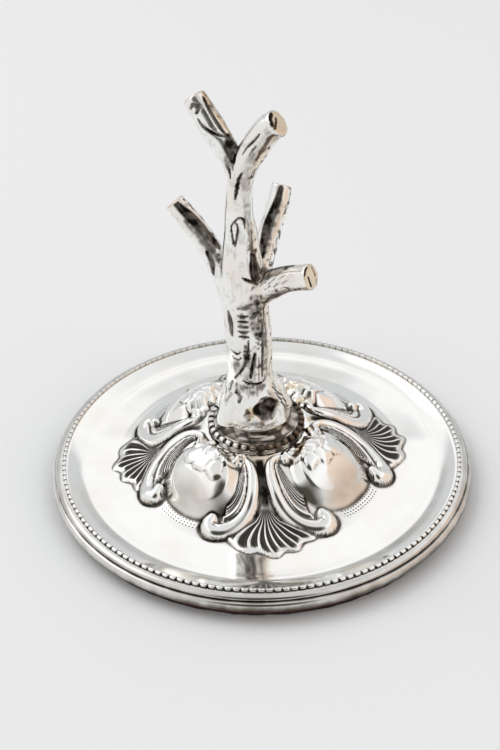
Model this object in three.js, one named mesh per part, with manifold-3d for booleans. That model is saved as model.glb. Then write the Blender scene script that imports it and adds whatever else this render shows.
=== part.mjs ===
// A silver ring tree: a cast tree with five lopped branches, bolted down on an embossed and loaded foot.
// Millimetres, +Z up. The origin is the centre of the foot's underside. The four fans of the foot point
// along X and Y, and the four bosses stand on the diagonals between them.

import * as THREE from 'three';
import { mergeVertices } from 'three/addons/utils/BufferGeometryUtils.js';
import Module from 'manifold-3d';

const wasm = await Module();
wasm.setup();

// The underside: a cloth pad, and a round board that closes the foot
const padThickness = 0.6;
const padInset = 0.2;
const boardThickness = 1.6;
const boardInset = 1.6;

// The foot: silver sheet with a rolled edge, a dished plate and an embossed dome
const footRadius = 45;
const sheetThickness = 0.6;
const rollRadius = 1.3;
const lipWidth = 1.4;
const grooveWidth = 0.25;
const grooveDepth = 0.35;
const shoulderRise = 1;
const plateDrop = 1.2;
const stepWidth = 3.2;
const plateWidth = 7.4;
const domeRise = 8.95;
const seatRadius = 11;
const domeShares = [
  [0, 1], [0.12, 0.95], [0.26, 0.83], [0.42, 0.6], [0.58, 0.31], [0.74, 0.1], [0.88, 0.02], [1, 0],
];

// The bosses, scrolls and fans of the dome
const quarters = 4;
const bossRise = 3;
const bossPlaceShare = 0.385;
const bossLengthShare = 0.36;
const bossWidthShare = 0.46;
const scrollRadius = 1.15;
const scrollHeadRadius = 2.5;
const bladeRadius = 0.75;
const bladeCount = 5;
const lumpRadius = 1.35;
const lumpCount = 3;
const embedShare = 0.25;

// The beaded border on the foot's shoulder
const borderInset = 2.75;
const beadHalfWidth = 0.6;
const beadHeight = 0.9;
const beadCount = 166;
const beadNeckShare = 0.62;
const beadSectionShares = [[-1, 0], [-0.6, 1], [0.6, 1], [1, 0]];
const seatMargin = 0.15;

// The collar: a flange, a row of round beads and a hollow neck
const collarRadius = 10.2;
const collarHeight = 3.7;
const flangeThickness = 0.5;
const collarBeadHalfWidth = 0.7;
const collarBeadHeight = 1.1;
const collarBeadCount = 34;
const neckRadius = 7.2;

// The tree
const treeHeight = 69;
const treeReach = 18.3;
const trunkRadius = 4.7;
const treeOffset = 1;

// The stud with its washer and nut, in a pocket of the filling
const studRadius = 1.5;
const studGrip = 7;
const nutWidth = 5.5;
const nutHeight = 2;
const washerRadius = 3.6;
const washerThickness = 0.5;
const pocketDepth = 3;
const pocketMargin = 1;
const studOverhang = 0.6;

// Shared by all pieces, and how finely the curves are stepped
const clearance = 0.3;
const overrun = 2;
const roundSegments = 40;
const smallSegments = 24;
const rollStartDegrees = 70;
const rollEndDegrees = -90;
const outerRollSteps = 7;
const innerRollSteps = 4;
const neckSteps = 4;
const [scrollSides, scrollSteps] = [5, 9];
const [bladeSides, bladeSteps] = [4, 3];
const [trunkSides, trunkSteps] = [12, 22];
const [branchSides, branchSteps] = [10, 7];
const [rootSides, rootSteps] = [7, 4];

// Heights and radii that follow from the sizes above
const boardTop = padThickness + boardThickness;
const boardRadius = footRadius - boardInset;
const rollCentreRadius = footRadius - rollRadius;
const rollCentreHeight = boardTop + rollRadius;
const lipRadius = rollCentreRadius - lipWidth;
const borderRadius = footRadius - borderInset;
const borderSeat = boardTop + rollRadius * 2 + shoulderRise;
const borderInner = borderRadius - beadHalfWidth - seatMargin;
const borderOuter = borderRadius + beadHalfWidth + seatMargin;
const plateHeight = borderSeat - plateDrop;
const plateRadius = borderInner - stepWidth;
const domeRadius = plateRadius - plateWidth;
const domeTop = plateHeight + domeRise;
const treeFoot = domeTop + collarHeight;
const pocketTop = boardTop + pocketDepth;
const pocketRadius = washerRadius + pocketMargin;
const studHole = studRadius + clearance;
const domeSpan = domeRadius - seatRadius;

// A three.js geometry as a solid that can be joined and cut
function solidOf(geometry) {
  const plain = geometry.clone();
  plain.deleteAttribute('normal');
  plain.deleteAttribute('uv');
  const merged = mergeVertices(plain);
  return new wasm.Manifold(new wasm.Mesh({
    numProp: 3,
    vertProperties: new Float32Array(merged.attributes.position.array),
    triVerts: new Uint32Array(merged.index.array),
  }));
}

// A solid back as a geometry
function geometryOf(solid) {
  const mesh = solid.getMesh();
  const geometry = new THREE.BufferGeometry();
  geometry.setAttribute('position', new THREE.BufferAttribute(mesh.vertProperties, 3));
  geometry.setIndex(new THREE.BufferAttribute(mesh.triVerts, 1));
  geometry.computeVertexNormals();
  return geometry;
}

const joinAll = (solids) => solids.reduce((joined, next) => joined.add(next));

// A turned shape: the profile is a list of [radius, height], and the lathe's own axis is stood up along Z
function turned(profile, segments) {
  const points = profile.map(([radius, height]) => new THREE.Vector2(radius, height));
  return new THREE.LatheGeometry(points, segments).rotateX(Math.PI / 2);
}

function upright(radius, bottom, top, segments) {
  const geometry = new THREE.CylinderGeometry(radius, radius, top - bottom, segments).rotateX(Math.PI / 2);
  return geometry.translate(0, 0, (bottom + top) / 2);
}

// A closed tube through the given points, with its own radius at each of them
function taperedTube(points, radii, sides, steps) {
  const curve = new THREE.CatmullRomCurve3(points);
  const positions = [];
  const indices = [];
  const across = new THREE.Vector3(0, 0, 1);
  if (Math.abs(curve.getTangent(0).z) > Math.SQRT1_2) across.set(1, 0, 0);
  for (let step = 0; step <= steps; step += 1) {
    const share = step / steps;
    const place = share * (radii.length - 1);
    const before = Math.min(Math.floor(place), radii.length - 2);
    const radius = THREE.MathUtils.lerp(radii[before], radii[before + 1], place - before);
    const along = curve.getTangent(share);
    across.addScaledVector(along, -across.dot(along)).normalize();
    const beside = new THREE.Vector3().crossVectors(along, across);
    const middle = curve.getPoint(share);
    for (let side = 0; side < sides; side += 1) {
      const angle = (side / sides) * Math.PI * 2;
      const point = middle.clone();
      point.addScaledVector(across, Math.cos(angle) * radius);
      point.addScaledVector(beside, Math.sin(angle) * radius);
      positions.push(...point.toArray());
    }
  }
  positions.push(...curve.getPoint(0).toArray(), ...curve.getPoint(1).toArray());
  const firstEnd = (steps + 1) * sides;
  const lastEnd = firstEnd + 1;
  for (let side = 0; side < sides; side += 1) {
    const next = (side + 1) % sides;
    indices.push(firstEnd, next, side);
    indices.push(lastEnd, steps * sides + side, steps * sides + next);
    for (let step = 0; step < steps; step += 1) {
      const here = step * sides;
      const above = here + sides;
      indices.push(here + side, here + next, above + next);
      indices.push(here + side, above + next, above + side);
    }
  }
  const geometry = new THREE.BufferGeometry();
  geometry.setAttribute('position', new THREE.Float32BufferAttribute(positions, 3));
  geometry.setIndex(indices);
  return geometry;
}

// The dome's own height at a radius, without its bosses: straight runs between the points of its profile
const domeProfile = domeShares.map(([out, up]) => [seatRadius + out * domeSpan, plateHeight + up * domeRise]);

function domeHeight(radius) {
  if (radius <= seatRadius) return domeTop;
  const after = domeProfile.findIndex(([pointRadius]) => pointRadius >= radius);
  if (after < 1) return plateHeight;
  const [innerRadius, innerHeight] = domeProfile[after - 1];
  const [outerRadius, outerHeight] = domeProfile[after];
  return THREE.MathUtils.mapLinear(radius, innerRadius, outerRadius, innerHeight, outerHeight);
}

// How far a boss lifts the sheet at a place: a smooth hill round the boss's middle on each diagonal
function bossLift(x, y) {
  const radius = Math.hypot(x, y);
  const quarter = (Math.PI * 2) / quarters;
  const turn = THREE.MathUtils.euclideanModulo(Math.atan2(y, x), quarter) - quarter / 2;
  const bossPlace = seatRadius + bossPlaceShare * domeSpan;
  const along = (radius * Math.cos(turn) - bossPlace) / (bossLengthShare * domeSpan);
  const aside = (radius * Math.sin(turn)) / (bossWidthShare * domeSpan);
  const hill = Math.max(0, 1 - along * along - aside * aside);
  return bossRise * Math.sqrt(hill) * Math.min(1, hill * 2);
}

const reliefHeight = (x, y) => domeHeight(Math.hypot(x, y)) + bossLift(x, y);

// Lifts the points of a turned shape that lie above the given height by the bosses
function liftBosses(geometry, above) {
  const place = geometry.attributes.position;
  for (let index = 0; index < place.count; index += 1) {
    const height = place.getZ(index);
    if (height > above) place.setZ(index, height + bossLift(place.getX(index), place.getY(index)));
  }
  return geometry;
}

function arcPoints(radius, fromDegrees, toDegrees, steps) {
  return Array.from({ length: steps + 1 }, (_, step) => {
    const angle = THREE.MathUtils.degToRad(THREE.MathUtils.lerp(fromDegrees, toDegrees, step / steps));
    return [rollCentreRadius + Math.cos(angle) * radius, rollCentreHeight + Math.sin(angle) * radius];
  });
}

// The dome leans to the left, so that its top carries the collar on the tree's own axis
function leanDome(geometry) {
  const place = geometry.attributes.position;
  for (let index = 0; index < place.count; index += 1) {
    const rise = THREE.MathUtils.clamp((place.getZ(index) - plateHeight) / domeRise, 0, 1);
    place.setX(index, place.getX(index) - treeOffset * rise);
  }
  return geometry;
}

// The solid between the plane of the board and a surface that lies the given depth under the foot's face
function domedSolid(depth, edge) {
  const dome = domeProfile.map(([radius, height]) => [radius, height - depth]);
  const plate = [[plateRadius, plateHeight - depth], [borderInner, borderSeat - depth]];
  const profile = [[0, domeTop - depth], ...dome, ...plate, ...edge];
  return liftBosses(turned(profile.reverse(), roundSegments), boardTop + sheetThickness);
}

function footFace() {
  const roll = arcPoints(rollRadius, rollStartDegrees, rollEndDegrees, outerRollSteps);
  const [rollTopRadius, rollTopHeight] = roll[0];
  const shoulder = [
    [borderOuter, borderSeat],
    [rollTopRadius, rollTopHeight + grooveWidth],
    [rollTopRadius - grooveDepth, rollTopHeight + grooveWidth / 2],
  ];
  return domedSolid(0, [...shoulder, ...roll, [0, boardTop]]);
}

function footHollow() {
  const roll = arcPoints(rollRadius - sheetThickness, -rollEndDegrees, rollEndDegrees, innerRollSteps);
  const lip = [[lipRadius, boardTop + sheetThickness], [lipRadius, boardTop - overrun], [0, boardTop - overrun]];
  return domedSolid(sheetThickness, [[borderRadius, borderSeat - sheetThickness], ...roll, ...lip]);
}

// Places on the dome are given as shares: outwards along a fan's middle line, and sideways from it
function onDome(out, aside, lift, quarterTurns) {
  const angle = (quarterTurns * Math.PI * 2) / quarters;
  const point = new THREE.Vector3(seatRadius + out * domeSpan, aside * domeSpan, 0);
  point.applyAxisAngle(new THREE.Vector3(0, 0, 1), angle);
  point.z = reliefHeight(point.x, point.y) + lift;
  return point;
}

const scrollShares = [
  [0.03, 0.2, 0.45], [0.08, 0.1, 0.7], [0.19, 0.075, 0.9], [0.34, 0.085, 1], [0.5, 0.14, 1],
  [0.62, 0.26, 1], [0.67, 0.41, 1.05], [0.65, 0.53, 1.1],
];
const scrollHeadShares = [0.56, 0.54];

// One scroll: a thick tapered ridge that ends in a round head
function scroll(quarterTurns, side) {
  const ridge = scrollShares.map(([out, aside]) => (
    onDome(out, aside * side, scrollRadius * embedShare, quarterTurns)));
  const ridgeRadii = scrollShares.map((row) => row[2] * scrollRadius);
  const [headOut, headAside] = scrollHeadShares;
  const head = new THREE.OctahedronGeometry(scrollHeadRadius, 1);
  const headPlace = onDome(headOut, headAside * side, 0, quarterTurns);
  const tube = taperedTube(ridge, ridgeRadii, scrollSides, scrollSteps);
  return [tube, head.translate(headPlace.x, headPlace.y, headPlace.z)];
}

const bladeRootShare = 0.44;
const bladeBendShares = [0.72, 0.45];
const bladeTipShare = 1.03;
const fanSpreadShare = 0.4;
const fanRoundShare = 0.2;

// One fan: blades that leave one root together and bend apart
function fan(quarterTurns) {
  return Array.from({ length: bladeCount }, (_, blade) => {
    const spread = (blade / (bladeCount - 1)) * 2 - 1;
    const [bendOut, bendAside] = bladeBendShares;
    const places = [
      [bladeRootShare, 0],
      [bendOut, spread * fanSpreadShare * bendAside],
      [bladeTipShare - fanRoundShare * spread * spread, spread * fanSpreadShare],
    ];
    const points = places.map(([out, aside]) => onDome(out, aside, 0, quarterTurns));
    return taperedTube(points, [bladeRadius, bladeRadius, bladeRadius / 2], bladeSides, bladeSteps);
  });
}

const lumpArcDegrees = 50;
const lumpPlaceShare = 0.12;

// The leafy lumps on the inner end of a boss, along the collar
function lumps(quarterTurns) {
  return Array.from({ length: lumpCount }, (_, lump) => {
    const spread = lump / (lumpCount - 1) - 1 / 2;
    const angle = THREE.MathUtils.degToRad(lumpArcDegrees * spread) + Math.PI / quarters;
    const radius = seatRadius + lumpPlaceShare * domeSpan;
    const out = (radius * Math.cos(angle) - seatRadius) / domeSpan;
    const place = onDome(out, (radius * Math.sin(angle)) / domeSpan, 0, quarterTurns);
    return new THREE.OctahedronGeometry(lumpRadius, 1).translate(place.x, place.y, place.z);
  });
}

function baseShell() {
  const ornaments = [];
  for (let quarter = 0; quarter < quarters; quarter += 1) {
    ornaments.push(...scroll(quarter, 1), ...scroll(quarter, -1), ...fan(quarter), ...lumps(quarter));
  }
  const face = joinAll([solidOf(leanDome(footFace())), ...ornaments.map(leanDome).map(solidOf)]);
  const hollow = solidOf(leanDome(footHollow()));
  const bore = solidOf(upright(studHole, boardTop, domeTop + overrun, smallSegments));
  const seat = solidOf(upright(seatRadius, domeTop, domeTop + bossRise + overrun, roundSegments));
  const cuts = bore.add(seat).translate([-treeOffset, 0, 0]);
  return geometryOf(face.subtract(hollow).subtract(cuts));
}

// The loading under the sheet, with the pocket for the washer and the nut
function filling() {
  const depth = sheetThickness + clearance;
  const fillingRadius = lipRadius - clearance;
  const block = domedSolid(depth, [[fillingRadius, borderSeat - depth], [fillingRadius, boardTop], [0, boardTop]]);
  const pocket = upright(pocketRadius, boardTop - overrun, pocketTop, smallSegments);
  const bore = upright(studHole, boardTop, domeTop + overrun, smallSegments);
  const cuts = joinAll([solidOf(pocket), solidOf(bore)]);
  return geometryOf(solidOf(leanDome(block)).subtract(cuts.translate([-treeOffset, 0, 0])));
}

// The board, with a hole that leaves the nut open to a spanner
function backingBoard() {
  const disc = upright(boardRadius, padThickness, boardTop, roundSegments);
  const hole = upright(pocketRadius, padThickness - overrun, boardTop + overrun, smallSegments);
  return geometryOf(solidOf(disc).subtract(solidOf(hole.translate(-treeOffset, 0, 0))));
}

// A closed ring of beads on a flat back: its section swells at each bead and narrows between two
function beadedRing(radius, bottom, halfWidth, height, count) {
  const corners = beadSectionShares.length;
  const sections = count * 2;
  const positions = [];
  const indices = [];
  for (let section = 0; section < sections; section += 1) {
    const angle = (section / sections) * Math.PI * 2;
    const scale = section % 2 === 0 ? 1 : beadNeckShare;
    for (const [aside, up] of beadSectionShares) {
      const reach = radius + aside * halfWidth * scale;
      positions.push(Math.cos(angle) * reach, Math.sin(angle) * reach, bottom + up * height * scale);
    }
    const here = section * corners;
    const ahead = ((section + 1) % sections) * corners;
    for (let corner = 0; corner < corners; corner += 1) {
      const next = (corner + 1) % corners;
      indices.push(here + corner, here + next, ahead + next);
      indices.push(here + corner, ahead + next, ahead + corner);
    }
  }
  const geometry = new THREE.BufferGeometry();
  geometry.setAttribute('position', new THREE.Float32BufferAttribute(positions, 3));
  geometry.setIndex(indices);
  return geometry;
}

function collar() {
  const beadPlace = collarRadius - collarBeadHalfWidth;
  const beadMiddle = domeTop + flangeThickness + collarBeadHeight / 2;
  const neckCurve = new THREE.QuadraticBezierCurve(
    new THREE.Vector2(beadPlace, beadMiddle),
    new THREE.Vector2(neckRadius, beadMiddle),
    new THREE.Vector2(neckRadius, treeFoot),
  );
  const neck = neckCurve.getPoints(neckSteps).map((point) => [point.x, point.y]);
  const profile = [
    [studHole, domeTop],
    [collarRadius, domeTop],
    [collarRadius, domeTop + flangeThickness],
    ...neck,
    [studHole, treeFoot],
    [studHole, domeTop],
  ];
  const beadBottom = domeTop + flangeThickness / 2;
  const beads = beadedRing(beadPlace, beadBottom, collarBeadHalfWidth, collarBeadHeight, collarBeadCount);
  return geometryOf(solidOf(turned(profile, roundSegments)).add(solidOf(beads)));
}

// Limbs of the tree. Each row gives a place, as shares of the tree's reach to the right and to the back and of
// its height, and then the limb's radius there as a share of the trunk's. The trunk runs on into the upper
// right branch.
const trunkShares = [
  [-0.03, 0.01, -0.06, 1.5], [-0.035, 0.01, 0.03, 1.5], [-0.055, 0.01, 0.08, 1.2], [-0.06, 0.01, 0.14, 1],
  [-0.065, 0.01, 0.24, 1.01], [-0.08, 0.015, 0.35, 0.98], [-0.1, 0.02, 0.44, 0.97], [-0.12, 0.02, 0.52, 0.85],
  [-0.13, 0.02, 0.63, 0.66], [-0.14, 0.02, 0.72, 0.56], [-0.12, 0.02, 0.79, 0.54], [-0.04, 0.045, 0.842, 0.56],
  [0.045, 0.06, 0.88, 0.59], [0.16, 0.075, 0.92, 0.6], [0.28, 0.02, 0.95, 0.56],
];
const upperLeftShares = [
  [-0.13, 0.02, 0.74, 0.36], [-0.19, 0.14, 0.83, 0.49], [-0.33, 0.31, 0.89, 0.53], [-0.43, 0.42, 0.933, 0.52],
  [-0.54, 0.54, 0.975, 0.5],
];
const lowerLeftShares = [
  [-0.11, 0.03, 0.35, 0.8], [-0.25, 0.15, 0.445, 0.66], [-0.4, 0.27, 0.515, 0.53], [-0.55, 0.38, 0.58, 0.48],
  [-0.79, 0.52, 0.66, 0.45],
];
const rearShares = [
  [-0.03, 0.04, 0.41, 0.6], [0.1, 0.2, 0.49, 0.55], [0.2, 0.36, 0.55, 0.52], [0.3, 0.51, 0.605, 0.5],
  [0.39, 0.66, 0.67, 0.45],
];
const frontShares = [
  [-0.07, -0.02, 0.38, 0.72], [0.045, -0.03, 0.435, 0.74], [0.21, -0.13, 0.472, 0.62], [0.36, -0.23, 0.5, 0.56],
  [0.57, -0.38, 0.525, 0.56],
];

// Each row of a root: how far out of the trunk's middle, how high over the foot, and how thick
const rootShares = [[0.75, 0.12, 0.3], [1.15, 0.04, 0.45], [1.38, -0.023, 0.52]];
const rootDegrees = [12, 78, 150, 208, 262, 318];
const rootReachShares = [1, 1, 1, 1.05, 0.8, 0.92];

function limb(rows, sides, steps) {
  const points = rows.map(([right, back, up]) => (
    new THREE.Vector3(right * treeReach, back * treeReach, treeFoot + up * treeHeight)));
  return taperedTube(points, rows.map((row) => row[3] * trunkRadius), sides, steps);
}

// The roots run down the flare of the trunk and end where the tree stands on its collar
function roots() {
  const [[footRight, footBack]] = trunkShares;
  return rootDegrees.map((degrees, root) => {
    const angle = THREE.MathUtils.degToRad(degrees);
    const reach = rootReachShares[root] * trunkRadius;
    const points = rootShares.map(([out, up]) => new THREE.Vector3(
      footRight * treeReach + Math.cos(angle) * out * reach,
      footBack * treeReach + Math.sin(angle) * out * reach,
      treeFoot + up * treeHeight,
    ));
    return taperedTube(points, rootShares.map((row) => row[2] * trunkRadius), rootSides, rootSteps);
  });
}

function tree() {
  const branches = [upperLeftShares, lowerLeftShares, rearShares, frontShares];
  const limbs = [
    limb(trunkShares, trunkSides, trunkSteps),
    ...branches.map((rows) => limb(rows, branchSides, branchSteps)),
    ...roots(),
  ];
  const below = upright(treeReach, treeFoot - treeHeight, treeFoot, smallSegments);
  const bore = upright(studHole, treeFoot - overrun, treeFoot + studGrip + clearance, smallSegments);
  const cuts = [solidOf(below), solidOf(bore)];
  return geometryOf(cuts.reduce((left, cut) => left.subtract(cut), joinAll(limbs.map(solidOf))));
}

function annulus(innerRadius, outerRadius, bottom, top, segments) {
  const corners = [[innerRadius, bottom], [outerRadius, bottom], [outerRadius, top], [innerRadius, top]];
  return turned([...corners, corners[0]], segments);
}

function nut(bottom, top) {
  const outline = new THREE.Shape();
  const cornerRadius = nutWidth / 2 / Math.cos(Math.PI / 6);
  for (let corner = 0; corner < 6; corner += 1) {
    const angle = (corner * Math.PI) / 3;
    const x = Math.cos(angle) * cornerRadius;
    const y = Math.sin(angle) * cornerRadius;
    if (corner === 0) outline.moveTo(x, y);
    else outline.lineTo(x, y);
  }
  outline.closePath();
  outline.holes.push(new THREE.Path().absarc(0, 0, studHole, 0, Math.PI * 2, true));
  const options = { depth: top - bottom, bevelEnabled: false, curveSegments: smallSegments / 2 };
  return new THREE.ExtrudeGeometry(outline, options).translate(0, 0, bottom);
}

function finish(color, roughness, metalness) {
  return new THREE.MeshStandardMaterial({ color, roughness, metalness });
}

const product = new THREE.Group();
product.name = 'ring_tree';

// The pieces on the tree's own axis, which stands a little to the left of the foot's
const treeAxis = new THREE.Group();
treeAxis.position.x = -treeOffset;
product.add(treeAxis);

function addPiece(parent, name, geometry, material) {
  const piece = new THREE.Mesh(geometry, material);
  piece.name = name;
  parent.add(piece);
}

const washerBottom = pocketTop - washerThickness;
const nutBottom = washerBottom - nutHeight;
const borderRing = beadedRing(borderRadius, borderSeat, beadHalfWidth, beadHeight, beadCount);
const padRadius = boardRadius - padInset;

addPiece(product, 'base_shell', baseShell(), finish(0xe4e2de, 0.12, 1));
addPiece(product, 'bead_border', borderRing, finish(0xdedbd6, 0.18, 1));
addPiece(product, 'filling', filling(), finish(0x4a3f36, 0.9, 0));
addPiece(product, 'backing_board', backingBoard(), finish(0x4b2a20, 0.6, 0));
addPiece(product, 'base_pad', upright(padRadius, 0, padThickness, roundSegments), finish(0x2e2120, 0.95, 0));
addPiece(treeAxis, 'tree', tree(), finish(0xe6e2da, 0.16, 1));
addPiece(treeAxis, 'collar', collar(), finish(0xa9a199, 0.2, 1));
addPiece(treeAxis, 'stud', upright(studRadius, nutBottom - studOverhang, treeFoot + studGrip, smallSegments),
  finish(0xb08d57, 0.4, 1));
addPiece(treeAxis, 'washer', annulus(studHole, washerRadius, washerBottom, pocketTop, smallSegments),
  finish(0xb8975f, 0.35, 1));
addPiece(treeAxis, 'nut', nut(nutBottom, washerBottom), finish(0xb08d57, 0.4, 1));

export default product;
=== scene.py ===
# %% [markdown]
# # A silver ring tree
#
# A cast silver tree with five lopped branches stands on a round foot of embossed silver sheet. The CAD
# model gives the pieces and their places. This script dresses them: it carves the ornament of the foot and
# the bark of the tree finely, and gives every piece the finish of the real one.

import bmesh
import bpy
import numpy as np
from mathutils import Matrix, Vector


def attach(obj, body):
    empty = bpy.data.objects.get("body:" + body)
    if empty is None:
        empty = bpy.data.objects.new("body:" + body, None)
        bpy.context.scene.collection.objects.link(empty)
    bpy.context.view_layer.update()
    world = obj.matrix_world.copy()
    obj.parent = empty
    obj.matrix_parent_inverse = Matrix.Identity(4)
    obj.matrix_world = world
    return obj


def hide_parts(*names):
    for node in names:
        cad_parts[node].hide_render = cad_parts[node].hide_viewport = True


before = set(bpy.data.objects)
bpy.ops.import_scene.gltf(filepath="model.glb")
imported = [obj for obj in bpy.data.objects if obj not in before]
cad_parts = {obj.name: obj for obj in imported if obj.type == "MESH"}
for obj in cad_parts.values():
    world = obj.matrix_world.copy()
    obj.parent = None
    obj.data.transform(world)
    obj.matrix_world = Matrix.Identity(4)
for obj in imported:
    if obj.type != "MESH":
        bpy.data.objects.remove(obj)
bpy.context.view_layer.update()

# %% [markdown]
# ## Small helpers
#
# Every new piece is a grid of points worked out with numpy, in millimetres, and every colour is written as
# the sRGB hex value that a paint chart would give. The helpers turn these into what Blender takes: metres,
# mesh faces and linear colours.

# %% Colours and grids
# One millimetre in Blender's metres.
MM = 0.001


def linear(code):
    """An sRGB hex code as linear red, green, blue and alpha, by undoing the sRGB curve."""
    channels = np.array([int(code[start:start + 2], 16) for start in (1, 3, 5)]) / 255
    curved = ((channels + 0.055) / 1.055) ** 2.4
    return [*np.where(channels <= 0.04045, channels / 12.92, curved), 1.0]


def grid_faces(rows, columns, wrap_rows=False):
    """Quads of a grid whose columns run round and meet; the rows meet as well where wrap_rows is set."""
    row = np.arange(rows if wrap_rows else rows - 1)[:, None]
    column = np.arange(columns)
    here = row * columns
    above = (row + 1) % rows * columns
    beside = (column + 1) % columns
    corners = [here + column, here + beside, above + beside, above + column]
    return np.stack([corner.ravel() for corner in corners], axis=1)


def row_dots(first, second):
    """The dot product of each row of the first with the same row of the second."""
    return np.einsum("ij,ij->i", first, second)


def unit_rows(vectors):
    """Each row brought to a length of 1."""
    return vectors / np.linalg.norm(vectors, axis=1)[:, None]


# %% Objects, meshes and stored values
def new_object(name, data):
    """An object that shows the given data, linked into the scene."""
    thing = bpy.data.objects.new(name, data)
    bpy.context.scene.collection.objects.link(thing)
    return thing


def make_piece(name, points, faces):
    """Puts points in millimetres and faces into a smooth mesh object whose faces point out: the volume that
    they enclose, summed over the faces from their corners, is then above zero."""
    first, second, third = (points[faces[:, corner]] for corner in range(3))
    volume = row_dots(first, np.cross(second, third)).sum()
    if faces.shape[1] == 4:
        volume += row_dots(first, np.cross(third, points[faces[:, 3]])).sum()
    if volume < 0:
        faces = faces[:, ::-1]
    mesh = bpy.data.meshes.new(name)
    mesh.from_pydata((points * MM).tolist(), [], faces.tolist())
    mesh.shade_smooth()
    print(name, "faces:", len(mesh.polygons))
    return new_object(name, mesh)


def read_rows(items, name):
    """Three numbers of each item, such as the place or the normal of a point, one row each."""
    numbers = np.zeros(len(items) * 3, np.float32)
    items.foreach_get(name, numbers)
    return numbers.reshape(-1, 3).astype(float)


def points_of(mesh):
    """The mesh's points in millimetres."""
    return read_rows(mesh.vertices, "co") / MM


def keep_attribute(mesh, name, values):
    """Stores one number per point, which a material reads by its name."""
    mesh.attributes.new(name, "FLOAT", "POINT").data.foreach_set("value", values.astype(np.float32))


# %% [markdown]
# ## Lines, noise and hollows
#
# Hand work is made of lines that swell and bend, of small unevenness, and of dirt that stays in the hollows.
# A smooth line through a few points gives the first, a random lattice that is blended between its corners
# gives the second. The third comes from the finished mesh: where a point lies under the average of its
# neighbours it is in a hollow, and the polishing cloth does not reach it.

# %% Smooth lines, soft steps and lattice noise
# The random numbers of the noise repeat after this many cells.
LATTICE = 32


def smooth_line(rows, count):
    """A Catmull-Rom line: each stretch is the cubic that leaves and meets its ends along their neighbours."""
    rows = np.asarray(rows, float)
    padded = np.vstack([2 * rows[0] - rows[1], rows, 2 * rows[-1] - rows[-2]])
    place = np.linspace(0, len(rows) - 1, count)
    start = np.minimum(place.astype(int), len(rows) - 2)
    share = (place - start)[:, None]
    before, here, after, beyond = (padded[start + step] for step in range(4))
    bend = 2 * before - 5 * here + 4 * after - beyond
    turn = 3 * here - before - 3 * after + beyond
    return here + 0.5 * ((after - before) * share + bend * share**2 + turn * share**3)


def soft_step(low, high, values):
    """0 below low, 1 above high, and the cubic 3t^2 - 2t^3 between them."""
    share = np.clip((values - low) / (high - low), 0, 1)
    return share * share * (3 - 2 * share)


def soft_window(start, full, fading, end, values):
    """0 before the start, 1 from full to fading and 0 past the end, with a soft step on either side."""
    return soft_step(start, full, values) * soft_step(end, fading, values)


def grain(points, seed):
    """Smooth noise from 0 to 1: random numbers on a lattice of unit cells, blended between its corners."""
    lattice = np.random.default_rng(seed).random((LATTICE, LATTICE, LATTICE))
    cell = np.floor(points).astype(int)
    share = points - cell
    share = share * share * (3 - 2 * share)
    total = np.zeros(len(points))
    for corner in np.ndindex(2, 2, 2):
        weight = np.prod(np.where(corner, share, 1 - share), axis=1)
        total += weight * lattice[tuple(((cell + corner) % LATTICE).T)]
    return total


def over_plane(x, y):
    """Rows of x, y and zero, for noise that runs in two directions only."""
    return np.stack([x, y, np.zeros(len(x))], axis=1)


# %% Hollows of a mesh
def neighbour_average(mesh, values, rounds):
    """Replaces each point's row of values by the mean of its neighbours' rows, as often as rounds says."""
    ends = np.zeros(len(mesh.edges) * 2, np.int32)
    mesh.edges.foreach_get("vertices", ends)
    one, other = ends.reshape(-1, 2).T
    here = np.r_[one, other]
    there = np.r_[other, one]
    count = np.maximum(np.bincount(here, minlength=len(values)), 1)
    for _ in range(rounds):
        pulled = [np.bincount(here, column[there], len(values)) / count for column in values.T]
        values = np.stack(pulled, axis=1)
    return values


def hollowness(mesh, rounds):
    """How deep each point lies under the average of the surface around it, in mm along its normal."""
    places = points_of(mesh)
    around = neighbour_average(mesh, places, rounds)
    return row_dots(around - places, read_rows(mesh.vertex_normals, "vector"))


# %% [markdown]
# ## The camera and the studio
#
# The object stands on pale paper under soft light. Polished silver has hardly any colour of its own: it shows
# what stands round it. So the surroundings matter as much as the lamps do. A plain white room would leave
# the silver without shape. Here the room is white above, with a soft window on the left, grey behind the
# object, warm on the right, and dark where the camera and its tripod stand, which gives the bosses and the
# bark their dark lights.

# %% The camera, at the photograph's angle
CAMERA_PLACE = np.array([-24.46, -232.72, 196.64])
CAMERA_HEADING = -6.0
CAMERA_ELEVATION = 39.14
AIM_ASIDE = 0.42
AIM_UP = 3.06
AIM_ROLL = -0.80
SENSOR = 36
# The focal length as a share of the picture's longer side.
FOCAL_SHARE = 1400 / 750


def turn_about(axis, degrees):
    """The matrix that turns by an angle about one of the three axes."""
    return Matrix.Rotation(np.radians(degrees), 3, axis)


camera_turn = turn_about("Z", CAMERA_HEADING) @ turn_about("X", 90 - CAMERA_ELEVATION)
camera_turn = camera_turn @ turn_about("Y", AIM_ASIDE) @ turn_about("X", AIM_UP) @ turn_about("Z", AIM_ROLL)
camera_data = bpy.data.cameras.new("photo_camera")
camera_data.sensor_width = SENSOR
camera_data.lens = SENSOR * FOCAL_SHARE
camera = new_object("photo_camera", camera_data)
camera.matrix_world = Matrix.Translation(CAMERA_PLACE * MM) @ camera_turn.to_4x4()
bpy.context.scene.camera = camera
bpy.context.scene.view_settings.view_transform = "Standard"
print("camera lens, mm:", round(camera_data.lens, 1))


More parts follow.
